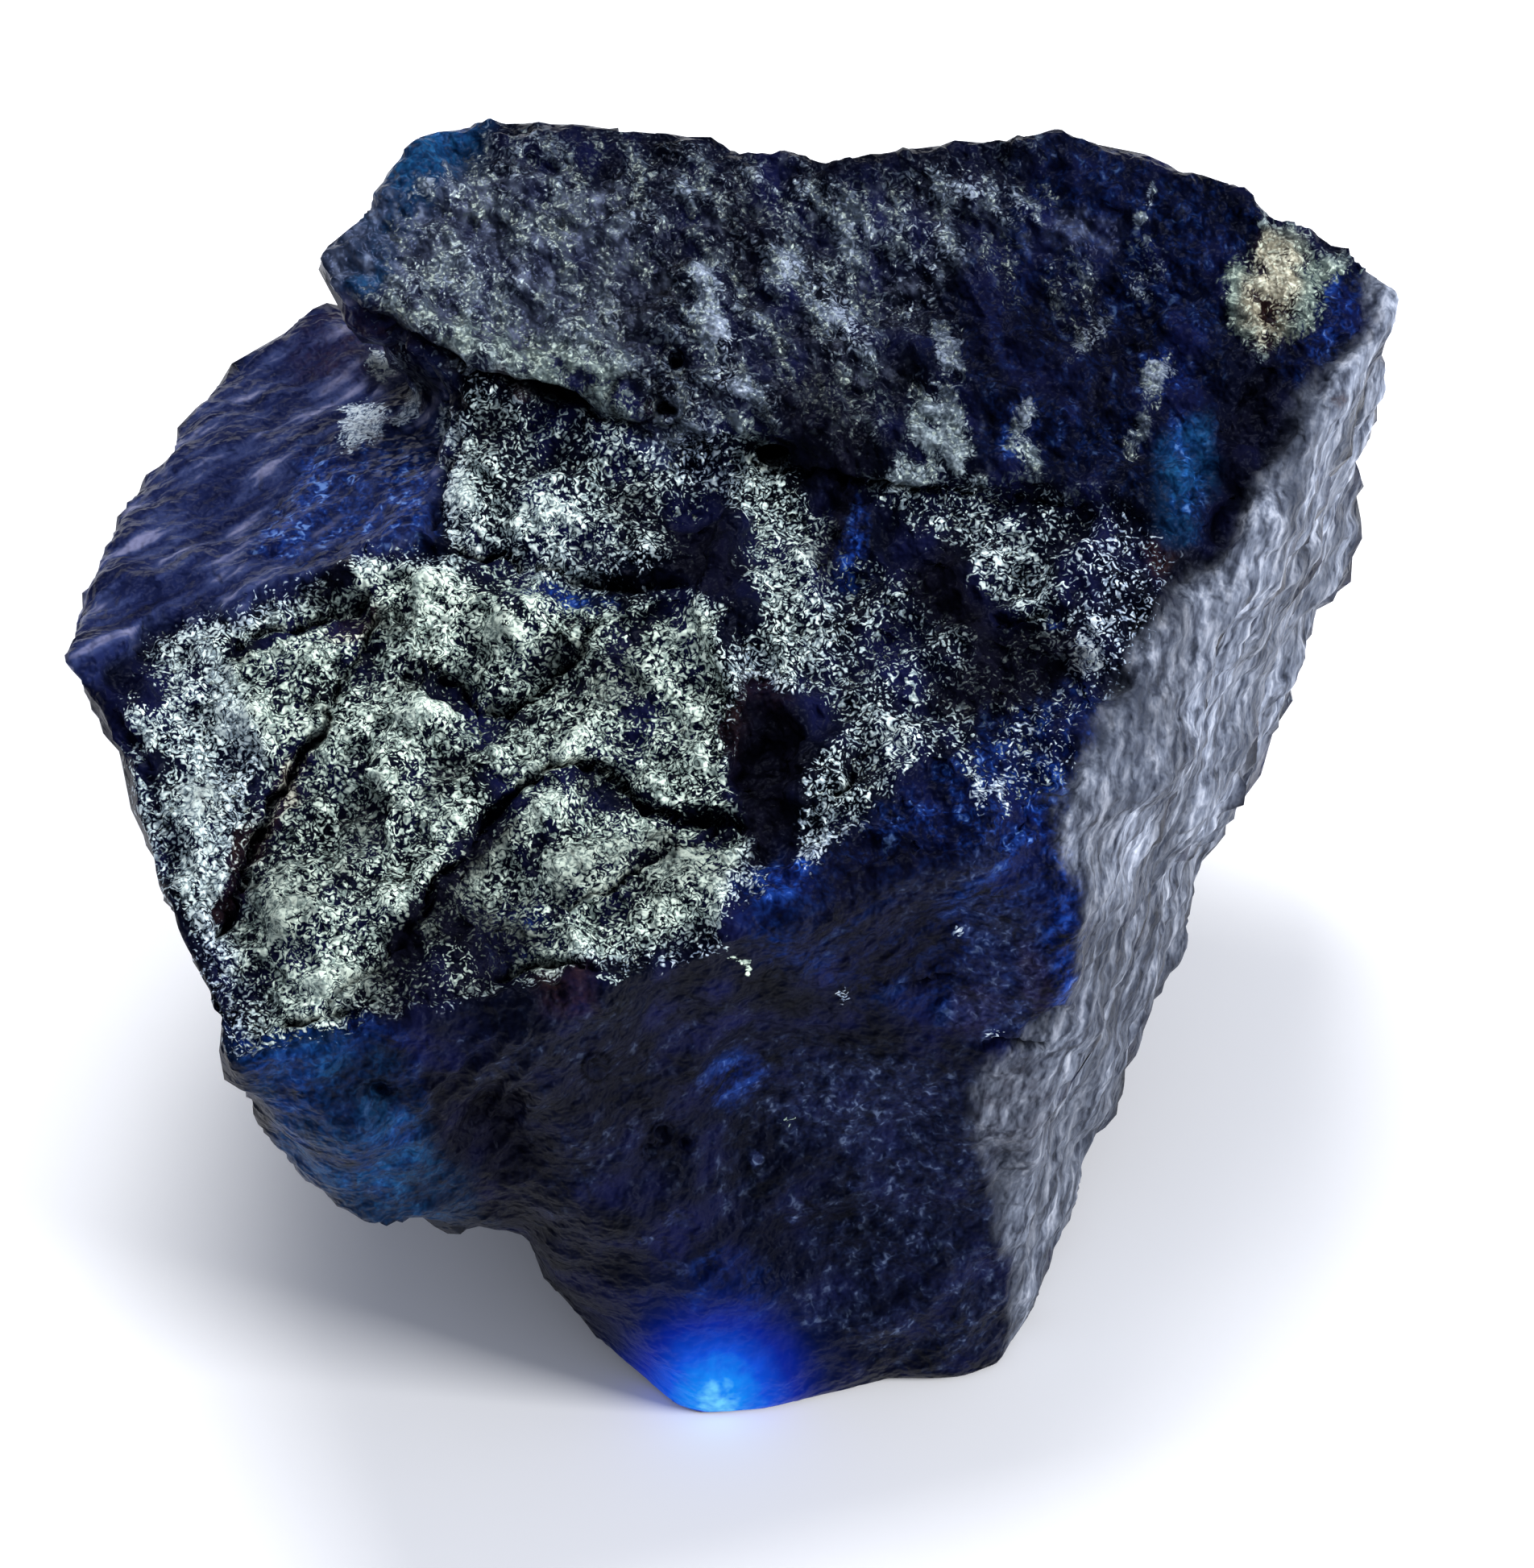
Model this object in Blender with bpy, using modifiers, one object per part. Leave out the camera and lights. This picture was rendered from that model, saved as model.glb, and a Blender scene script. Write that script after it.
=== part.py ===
"""Rough sapphire: one broken, water-worn lump of corundum, standing on a small flat foot.

The stone is a broad, gently sloping top on a body that narrows to the foot. Its main fracture
faces are convex blocks, joined and cut like the real breaks; the skin is then folded into
ledges, valleys, ridges and pits.

Sizes are in millimetres and are turned into metres when a shape is made. Places on the visible
skin are given on a sloping layout plane: "across" runs to the right and "up" runs up the plane,
both from the front tip of the foot, and "height" is measured from the floor.
"""

import math

import bmesh
import bpy
import numpy as np

MM = 0.001

# ---- driving dimensions ---------------------------------------------------------------------
LAYOUT_LEAN = math.radians(48.0)     # the layout plane faces up at this angle
TOP_SLOPE = 0.301                    # rise of the broad top for each millimetre up the layout plane
TOP_FRONT_HEIGHT = 19.2              # height of the broad top carried down to up = 0
STEP_LEFT = 1.1                      # how far the rear block stands proud of the top, at its left
STEP_MIDDLE = 0.5                    # in its middle
STEP_RIGHT = 0.2                     # and at its right
REAR_RIM_PROUD = (1.5, 1.0)          # the same at the back rim: right of its middle, and at its right
SKIN_VOXEL = 0.40                    # cell of the even skin that the relief is worked into
BROAD_LUMPS = (5.0, 1.5)             # size and height of the broad lumps of the broken skin
SMALL_LUMPS = (1.6, 0.5)             # and of the small ones
FACE_BUDGET = 9600                   # triangles in the finished stone
FOOT_SPARE = 1.2                     # stock left under the foot until it is cut flat
EDGE_WEAR_ROUNDS = 3                 # rounds of smoothing on the break edges
OUTLINE_CENTRE = (-0.5, 24.0)        # middle of the outline on the layout plane
OUTLINE_SLOTS = 240                  # directions in which the outline is held
OUTLINE_GRIP = 5                     # the higher, the closer to the edge the skin is eased
VALLEY_ENDS = 0.15                   # share of a valley's length over which each end runs out
FACING_EDGE = 0.25                   # how squarely skin faces the layout plane to take full relief

# Valleys on the layout plane: path, half width and depth. A negative depth is a ridge.
VALLEYS = [
    ([(-10.1, 38.1), (-8.1, 37.0), (-5.3, 36.2), (-2.5, 35.1), (2.7, 33.6), (9.0, 32.9)], 0.45, 0.6),
    ([(-13.8, 26.0), (-15.2, 23.8), (-16.3, 22.1), (-17.1, 20.3), (-18.3, 16.4)], 0.7, 0.5),
    ([(-10.2, 31.2), (-8.2, 31.2), (-5.6, 30.1), (-1.4, 30.3)], 0.5, 0.25),
    ([(-10.9, 27.2), (-9.1, 25.5), (-7.3, 25.6), (-4.6, 28.7)], 0.5, 0.25),
    ([(-7.7, 22.5), (-5.6, 23.6), (-4.6, 23.4), (-2.8, 21.6), (0.9, 21.4)], 0.5, 0.35),
    ([(-0.1, 21.6), (-2.1, 20.7), (-3.9, 19.4), (-6.2, 18.3)], 0.5, 0.2),
    ([(-17.4, 27.7), (-15.1, 28.6), (-13.0, 29.5)], 0.5, 0.3),
    ([(-8.3, 20.7), (-10.6, 18.8), (-11.8, 16.7)], 0.6, 0.4),
    ([(1.0, 28.0), (1.1, 25.0), (1.0, 22.6)], 0.8, 0.8),
    ([(-0.2, 33.5), (-0.6, 30.5), (-0.3, 27.6), (0.2, 25.6), (-0.3, 22.7)], 0.8, -0.7),
    ([(-13.6, 29.3), (-11.5, 28.5), (-11.0, 26.5), (-11.6, 24.0)], 0.9, -0.5),
]

# Shell-shaped scars on the hidden sides: name, middle of the ball that fits them, and its radius.
SHELL_BREAKS = [
    ("back_scar", (-10.5, 47.0, 25.0), 14.2),
    ("left_scar", (-28.5, 6.5, 5.6), 15.0),
    ("right_scar", (24.0, 24.0, -4.5), 13.6),
]

# Dishes on the layout plane: centre, radii and depth. A negative depth is a lump.
SCOOPS = [
    ((2.7, 11.0), (9.5, 8.5), 2.2),
    ((8.0, 17.0), (5.0, 3.0), 1.0),
    ((-8.4, 10.2), (2.4, 2.8), 1.6),
    ((1.5, 34.5), (1.0, 0.7), 1.5),
    ((-12.5, 11.8), (0.8, 0.8), 0.7),
    ((-13.4, 11.0), (3.0, 3.2), -0.8),
    ((-7.0, 33.6), (3.0, 2.2), -0.5),
    ((15.0, 40.0), (4.0, 3.4), 0.9),
    ((5.5, 40.5), (3.6, 3.0), 0.6),
    ((17.0, 29.0), (1.6, 6.0), 0.7),
]

# Outline on the layout plane, clockwise from the left end of the rear block.
OUTLINE = [
    (-14.9, 41.6), (-13.4, 43.1), (-11.9, 45.3), (-10.8, 46.3), (-8.6, 46.6), (-6.4, 46.5),
    (-3.1, 46.1), (1.0, 45.6), (3.5, 45.1), (4.8, 45.3), (9.6, 45.9), (12.1, 46.1), (14.3, 45.4),
    (18.4, 44.2), (19.9, 43.0), (22.3, 42.2), (23.8, 40.9), (24.0, 40.3), (23.7, 38.2),
    (23.3, 35.6), (22.7, 33.8), (22.8, 32.1), (22.7, 30.6), (21.2, 28.3), (20.1, 25.4),
    (18.1, 21.2), (16.7, 19.4), (16.0, 16.2), (14.8, 13.9), (14.3, 12.0), (12.7, 9.1),
    (12.0, 6.2), (10.5, 3.0), (9.7, 1.7), (8.7, 1.3), (5.6, 1.2), (3.2, 0.6), (0.4, 0.0),
    (-0.8, 0.0), (-2.0, 0.2), (-2.8, 0.9), (-4.5, 2.5), (-6.6, 4.8), (-7.4, 6.4), (-7.9, 6.8),
    (-9.3, 6.9), (-11.2, 7.0), (-12.9, 6.7), (-14.5, 7.8), (-15.9, 9.4), (-17.0, 10.7),
    (-18.1, 12.9), (-18.3, 14.7), (-19.6, 17.2), (-20.6, 19.5), (-21.1, 21.5), (-21.7, 23.6),
    (-23.0, 25.9), (-24.0, 27.3), (-23.7, 28.4), (-23.2, 29.6), (-22.4, 31.6), (-21.9, 32.9),
    (-20.6, 34.1), (-19.7, 35.9), (-18.0, 37.7), (-15.9, 39.3), (-14.2, 40.3),
]


def placed(across, up, height):
    """The point at a place on the layout plane and a height above the floor."""
    depth = (up - math.cos(LAYOUT_LEAN) * height) / math.sin(LAYOUT_LEAN)
    return (across, depth, height)


def on_top(across, up, proud=0.0):
    """A point on the broad top, or proud of it."""
    return placed(across, up, TOP_FRONT_HEIGHT + TOP_SLOPE * up + proud)


def hull(name, corners, collection):
    """A convex block through its corners."""
    mesh = bpy.data.meshes.new(name)
    body = bmesh.new()
    for corner in corners:
        body.verts.new([value * MM for value in corner])
    result = bmesh.ops.convex_hull(body, input=body.verts)
    loose = [item for item in result["geom_interior"] + result["geom_unused"]
             if isinstance(item, bmesh.types.BMVert)]
    bmesh.ops.delete(body, geom=list(set(loose)), context="VERTS")
    bmesh.ops.recalc_face_normals(body, faces=body.faces)
    body.to_mesh(mesh)
    body.free()
    block = bpy.data.objects.new(name, mesh)
    collection.objects.link(block)
    return block


def main_block(collection):
    """The body: the broad top in front of the ledge, the front, right side, foot and hidden back."""
    top = [on_top(-24.0, 27.3), on_top(-18.1, 12.9), on_top(-10.1, 14.5), on_top(-0.5, 16.8),
           on_top(5.6, 20.3), on_top(12.3, 21.9), on_top(14.9, 27.4), on_top(17.5, 31.8),
           on_top(19.9, 35.3), on_top(24.0, 40.3), on_top(12.1, 45.3), on_top(-10.8, 45.3)]
    front = [placed(-7.9, 6.8, 8.0), placed(-16.5, 11.5, 19.0), placed(12.9, 18.4, 22.3),
             placed(8.8, 12.5, 15.0), placed(10.3, 5.1, 4.2)]
    left = [placed(-22.6, 31.6, 26.0), placed(-19.9, 35.9, 24.5), placed(-15.9, 39.6, 23.8)]
    right = [placed(12.0, 6.2, 0.8), placed(14.3, 12.0, 4.1), placed(16.0, 16.2, 6.4),
             placed(18.1, 21.2, 8.9), placed(20.1, 25.4, 10.1), placed(22.7, 30.6, 11.3)]
    back = [(10.0, 36.5, 15.0), (-8.0, 36.0, 17.0), (-19.0, 27.0, 15.0), (-20.5, 15.0, 16.0)]
    foot = [(-2.8, 1.2), (-0.8, 0.0), (3.2, 0.8), (8.7, 1.8), (9.7, 2.3), (10.5, 4.0), (11.8, 8.0),
            (11.0, 17.0), (5.0, 23.0), (-5.0, 23.0), (-9.0, 16.0), (-5.6, 6.6), (-4.5, 3.6)]
    foot_low = [(x, y, -FOOT_SPARE) for x, y in foot]
    foot_high = [(x, y, 0.0) for x, y in foot]
    return hull("main_block", top + front + left + right + back + foot_low + foot_high, collection)


def rear_block(collection):
    """The block behind the ledge, standing proud of the top."""
    edge = [on_top(-14.2, 40.3, STEP_LEFT), on_top(-9.5, 37.6, STEP_LEFT),
            on_top(-5.3, 36.3, STEP_LEFT), on_top(0.0, 34.7, STEP_MIDDLE),
            on_top(4.2, 33.5, STEP_MIDDLE), on_top(9.0, 33.0, STEP_RIGHT),
            on_top(14.2, 32.8, STEP_RIGHT)]
    rim = [on_top(-15.4, 41.7, STEP_LEFT), on_top(-11.9, 45.3, STEP_LEFT),
           on_top(-10.8, 46.3, STEP_LEFT), on_top(-3.1, 46.3, STEP_LEFT),
           on_top(12.1, 46.3, REAR_RIM_PROUD[0]), on_top(18.4, 44.2, REAR_RIM_PROUD[1]),
           on_top(23.8, 40.9, STEP_RIGHT)]
    root = [(-9.0, 26.0, 22.0), (14.0, 15.0, 22.0), (20.0, 24.0, 20.0), (8.0, 34.0, 18.0),
            (-8.0, 33.5, 18.0)]
    return hull("rear_block", edge + rim + root, collection)


def lobe(collection):
    """The rounded lobe that hangs at the lower left."""
    skin = [on_top(-18.1, 12.9), placed(-17.0, 10.7, 17.0), placed(-15.9, 9.4, 14.5),
            placed(-14.5, 7.8, 13.0), placed(-12.9, 6.7, 12.3), placed(-9.3, 6.9, 12.5),
            placed(-9.0, 10.5, 16.5), on_top(-10.1, 14.5, -0.5)]
    root = [(-2.0, 10.0, 20.0), (-16.0, 10.0, 22.0), (-12.0, 8.0, 12.0)]
    return hull("lobe", skin + root, collection)


def left_break(collection):
    """The wedge that broke away behind the left tip, leaving a low face under the rear block."""
    floor_line = [placed(-10.6, 31.9, 28.8), placed(-26.0, 26.6, 26.8)]
    floor_back = [placed(-19.7, 35.9, 24.0), placed(-24.0, 36.0, 22.5), placed(-8.6, 39.5, 24.6),
                  placed(-16.5, 42.5, 21.0)]
    roof = [(x, y, 45.0) for x, y, z in floor_line + floor_back]
    return hull("left_break", floor_line + floor_back + roof, collection)


def back_shelf(collection):
    """The slab that broke off the upper back, leaving a narrow shelf."""
    shelf = [(1.0, 33.6, 19.0), (26.0, 31.4, 16.5), (1.0, 42.0, 18.0), (26.0, 42.0, 15.5)]
    roof = [(2.5, 33.0, 45.0), (26.0, 30.6, 45.0), (2.5, 42.0, 45.0), (26.0, 42.0, 45.0)]
    return hull("back_shelf", shelf + roof, collection)


def shell_break(name, centre, radius, collection):
    """A round cutter that leaves a shell-shaped scar."""
    bpy.ops.mesh.primitive_ico_sphere_add(subdivisions=5, radius=radius * MM,
                                          location=[value * MM for value in centre])
    cutter = bpy.context.object
    cutter.name = name
    for owner in list(cutter.users_collection):
        owner.objects.unlink(cutter)
    collection.objects.link(cutter)
    return cutter


def joined(target, other, operation):
    """One Boolean step on the target."""
    step = target.modifiers.new(other.name, "BOOLEAN")
    step.operation = operation
    step.solver = "EXACT"
    step.object = other


def settle(stone):
    """Make the result of the stone's modifiers its own mesh."""
    bpy.context.view_layer.update()
    graph = bpy.context.evaluated_depsgraph_get()
    mesh = bpy.data.meshes.new_from_object(stone.evaluated_get(graph))
    stone.modifiers.clear()
    stone.data = mesh


def even_skin(stone):
    """An even skin over the joined blocks, with the break edges slightly worn."""
    skin = stone.modifiers.new("even_skin", "REMESH")
    skin.mode = "VOXEL"
    skin.voxel_size = SKIN_VOXEL * MM
    wear = stone.modifiers.new("worn_edges", "SMOOTH")
    wear.factor = 0.5
    wear.iterations = EDGE_WEAR_ROUNDS
    settle(stone)


def lumps(stone, name, size, height):
    """Random lumps and dips of one size over the whole stone."""
    texture = bpy.data.textures.new(name, "CLOUDS")
    texture.noise_scale = size * MM
    texture.noise_depth = 1
    step = stone.modifiers.new(name, "DISPLACE")
    step.texture = texture
    step.texture_coords = "LOCAL"
    step.strength = height * MM
    step.mid_level = 0.5


def read_skin(stone):
    """The skin's points and outward directions, in millimetres."""
    mesh = stone.data
    points = np.empty(3 * len(mesh.vertices))
    mesh.vertices.foreach_get("co", points)
    normals = np.empty(3 * len(mesh.vertices))
    mesh.vertex_normals.foreach_get("vector", normals)
    return points.reshape(-1, 3) / MM, normals.reshape(-1, 3)


def write_skin(stone, points):
    """Put the skin's points back, given in millimetres."""
    stone.data.vertices.foreach_set("co", (points * MM).ravel())
    stone.data.update()


def layout(points):
    """Across and up on the layout plane, and the distance out of it."""
    lean_sine, lean_cosine = math.sin(LAYOUT_LEAN), math.cos(LAYOUT_LEAN)
    across = points[:, 0]
    up = points[:, 1] * lean_sine + points[:, 2] * lean_cosine
    out = points[:, 2] * lean_sine - points[:, 1] * lean_cosine
    return across, up, out


def eased(value):
    """A smooth step from 0 to 1."""
    value = np.clip(value, 0.0, 1.0)
    return value * value * (3.0 - 2.0 * value)


def facing(normals):
    """1 on the skin that faces the layout plane, 0 on the far side."""
    toward = normals[:, 2] * math.sin(LAYOUT_LEAN) - normals[:, 1] * math.cos(LAYOUT_LEAN)
    return eased(toward / FACING_EDGE)


def path_distance(across, up, path):
    """Distance of each place to a line of points, and how far along the line it lies, 0 to 1."""
    path = np.array(path)
    lengths = np.hypot(*(path[1:] - path[:-1]).T)
    before = np.concatenate(([0.0], np.cumsum(lengths)))
    best = np.full(across.shape, np.inf)
    along = np.zeros(across.shape)
    for start, end, length, done in zip(path[:-1], path[1:], lengths, before):
        run = (end - start) / length
        part = np.clip((across - start[0]) * run[0] + (up - start[1]) * run[1], 0.0, length)
        gap = np.hypot(across - start[0] - part * run[0], up - start[1] - part * run[1])
        nearer = gap < best
        best = np.where(nearer, gap, best)
        along = np.where(nearer, (done + part) / before[-1], along)
    return best, along


def carve(points, normals, path, width, depth):
    """A valley along a path, or a ridge where the depth is negative; it fades out at both ends."""
    across, up, out = layout(points)
    gap, along = path_distance(across, up, path)
    fade = eased(along / VALLEY_ENDS) * eased((1.0 - along) / VALLEY_ENDS)
    amount = depth * np.exp(-(gap / width) ** 2) * fade * facing(normals)
    return points - normals * amount[:, None]


def scoop(points, normals, centre, radii, depth):
    """A shallow dish, or a lump where the depth is negative."""
    across, up, out = layout(points)
    reach = np.hypot((across - centre[0]) / radii[0], (up - centre[1]) / radii[1])
    amount = depth * eased(1.0 - reach) * facing(normals)
    return points - normals * amount[:, None]


def reach_of(angles, radii, asked):
    """The farthest radius in each direction, read at the asked directions."""
    slots = np.linspace(-math.pi, math.pi, OUTLINE_SLOTS + 1)
    slot = np.clip(np.digitize(angles, slots) - 1, 0, OUTLINE_SLOTS - 1)
    reach = np.zeros(OUTLINE_SLOTS)
    np.maximum.at(reach, slot, radii)
    middle = 0.5 * (slots[1:] + slots[:-1])
    return np.interp(asked, middle, reach, period=2.0 * math.pi)


def hold_outline(points):
    """Ease the skin sideways, at its own height, until its edge follows the outline."""
    across, up, out = layout(points)
    angles = np.arctan2(up - OUTLINE_CENTRE[1], across - OUTLINE_CENTRE[0])
    radii = np.hypot(across - OUTLINE_CENTRE[0], up - OUTLINE_CENTRE[1])
    edge = np.array(OUTLINE)
    edge_angles = np.arctan2(edge[:, 1] - OUTLINE_CENTRE[1], edge[:, 0] - OUTLINE_CENTRE[0])
    edge_radii = np.hypot(edge[:, 0] - OUTLINE_CENTRE[0], edge[:, 1] - OUTLINE_CENTRE[1])
    wanted = np.interp(angles, *sorted_pair(edge_angles, edge_radii), period=2.0 * math.pi)
    standing = points[:, 2] >= 0.0
    current = reach_of(angles[standing], radii[standing], angles)
    pull = np.minimum(radii / current, 1.0) ** OUTLINE_GRIP
    grown = radii * (1.0 + (wanted / current - 1.0) * pull)
    new_up = OUTLINE_CENTRE[1] + grown * np.sin(angles)
    return np.column_stack(placed(OUTLINE_CENTRE[0] + grown * np.cos(angles), new_up, points[:, 2]))


def sorted_pair(keys, values):
    """Both lists in the order of the first."""
    order = np.argsort(keys)
    return keys[order], values[order]


def relief(stone):
    """Ledges, valleys, ridges and pits on the skin that faces the layout plane."""
    points, normals = read_skin(stone)
    for path, width, depth in VALLEYS:
        points = carve(points, normals, path, width, depth)
    for centre, radii, depth in SCOOPS:
        points = scoop(points, normals, centre, radii, depth)
    write_skin(stone, points)


def thin_out(stone):
    """Fewer, larger triangles where the skin is plain."""
    step = stone.modifiers.new("fewer_faces", "DECIMATE")
    step.ratio = FACE_BUDGET / sum(len(face.vertices) - 2 for face in stone.data.polygons)
    step.use_collapse_triangulate = True
    settle(stone)


def flatten_foot(stone):
    """Cut the foot flat at the floor."""
    body = bmesh.new()
    body.from_mesh(stone.data)
    everything = body.verts[:] + body.edges[:] + body.faces[:]
    cut = bmesh.ops.bisect_plane(body, geom=everything, plane_co=(0.0, 0.0, 0.0),
                                 plane_no=(0.0, 0.0, -1.0), clear_outer=True)
    rim = [item for item in cut["geom_cut"] if isinstance(item, bmesh.types.BMEdge)]
    bmesh.ops.contextual_create(body, geom=rim)
    bmesh.ops.triangulate(body, faces=[face for face in body.faces if len(face.verts) > 3])
    bmesh.ops.recalc_face_normals(body, faces=body.faces)
    body.to_mesh(stone.data)
    body.free()


def centre_on_floor(stone):
    """Move the stone so that its origin is under the middle of its box."""
    points, normals = read_skin(stone)
    middle = 0.5 * (points.min(axis=0) + points.max(axis=0))
    write_skin(stone, points - np.array([middle[0], middle[1], 0.0]))


def sapphire_material():
    """Dark blue stone with a dull greasy shine."""
    material = bpy.data.materials.new("dark blue sapphire")
    material.use_nodes = True
    surface = material.node_tree.nodes["Principled BSDF"]
    surface.inputs["Base Color"].default_value = (0.010, 0.018, 0.085, 1.0)
    surface.inputs["Roughness"].default_value = 0.38
    surface.inputs["Metallic"].default_value = 0.0
    return material


def main():
    for item in list(bpy.data.objects):
        bpy.data.objects.remove(item, do_unlink=True)
    part = bpy.data.collections.new("Rough sapphire")
    cutters = bpy.data.collections.new("Cutters")
    bpy.context.scene.collection.children.link(part)
    bpy.context.scene.collection.children.link(cutters)

    stone = main_block(part)
    stone.name = "sapphire"
    steps = [(lobe(cutters), "UNION"), (left_break(cutters), "DIFFERENCE"),
             (rear_block(cutters), "UNION"), (back_shelf(cutters), "DIFFERENCE")]
    for name, centre, radius in SHELL_BREAKS:
        steps.append((shell_break(name, centre, radius, cutters), "DIFFERENCE"))
    for block, operation in steps:
        joined(stone, block, operation)
        block.hide_render = True
        block.display_type = "WIRE"
    settle(stone)

    even_skin(stone)
    lumps(stone, "broad_lumps", *BROAD_LUMPS)
    lumps(stone, "small_lumps", *SMALL_LUMPS)
    settle(stone)
    relief(stone)
    points, normals = read_skin(stone)
    write_skin(stone, hold_outline(points))
    thin_out(stone)
    flatten_foot(stone)
    centre_on_floor(stone)
    stone.data.materials.clear()
    stone.data.materials.append(sapphire_material())


main()
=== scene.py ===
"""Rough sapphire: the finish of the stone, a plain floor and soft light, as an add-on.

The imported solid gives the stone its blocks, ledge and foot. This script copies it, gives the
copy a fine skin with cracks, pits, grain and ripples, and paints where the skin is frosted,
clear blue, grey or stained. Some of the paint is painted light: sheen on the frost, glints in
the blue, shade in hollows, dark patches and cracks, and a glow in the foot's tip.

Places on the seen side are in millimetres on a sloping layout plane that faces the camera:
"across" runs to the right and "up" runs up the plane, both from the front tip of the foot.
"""

import math
from functools import partial
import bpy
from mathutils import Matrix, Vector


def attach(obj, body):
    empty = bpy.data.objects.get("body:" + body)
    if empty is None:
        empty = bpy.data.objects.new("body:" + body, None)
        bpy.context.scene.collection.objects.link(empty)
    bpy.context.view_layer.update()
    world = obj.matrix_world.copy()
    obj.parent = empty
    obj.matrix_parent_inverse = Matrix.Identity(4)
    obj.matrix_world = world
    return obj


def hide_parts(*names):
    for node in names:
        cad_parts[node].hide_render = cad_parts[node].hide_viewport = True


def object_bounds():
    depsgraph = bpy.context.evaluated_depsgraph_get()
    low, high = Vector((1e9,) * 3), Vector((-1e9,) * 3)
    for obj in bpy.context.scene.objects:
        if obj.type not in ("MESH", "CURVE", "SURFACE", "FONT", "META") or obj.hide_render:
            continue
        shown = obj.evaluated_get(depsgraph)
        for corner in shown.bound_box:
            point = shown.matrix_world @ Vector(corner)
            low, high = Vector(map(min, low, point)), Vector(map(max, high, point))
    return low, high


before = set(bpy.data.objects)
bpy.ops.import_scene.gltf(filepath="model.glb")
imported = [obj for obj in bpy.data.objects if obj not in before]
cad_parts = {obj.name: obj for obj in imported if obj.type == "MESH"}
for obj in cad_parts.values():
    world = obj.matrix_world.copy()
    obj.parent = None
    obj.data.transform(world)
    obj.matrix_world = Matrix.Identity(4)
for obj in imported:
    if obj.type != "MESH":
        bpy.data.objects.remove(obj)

from types import SimpleNamespace

import bpy
import numpy as np
from bpy.props import FloatProperty, FloatVectorProperty, IntProperty, PointerProperty
from mathutils import Matrix, Vector, noise

CAD_BOUNDS = [list(corner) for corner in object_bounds()]

bl_info = {
    "name": "Rough Sapphire",
    "version": (1, 0, 0),
    "blender": (4, 5, 0),
    "location": "View3D > Sidebar > Sapphire",
    "description": "Dresses the packed rough sapphire and sets it on a pale floor",
    "category": "Object",
}

MM = 0.001
NODE = "sapphire"
PIECE = "rough_sapphire"
SENSOR_WIDTH = 36.0                  # the camera's, in millimetres
LAYOUT_LEAN = math.radians(48.0)     # the layout plane faces up at this angle
FOOT_TIP = (0.021, -16.372)          # x and y of the foot's front tip, in millimetres

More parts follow.
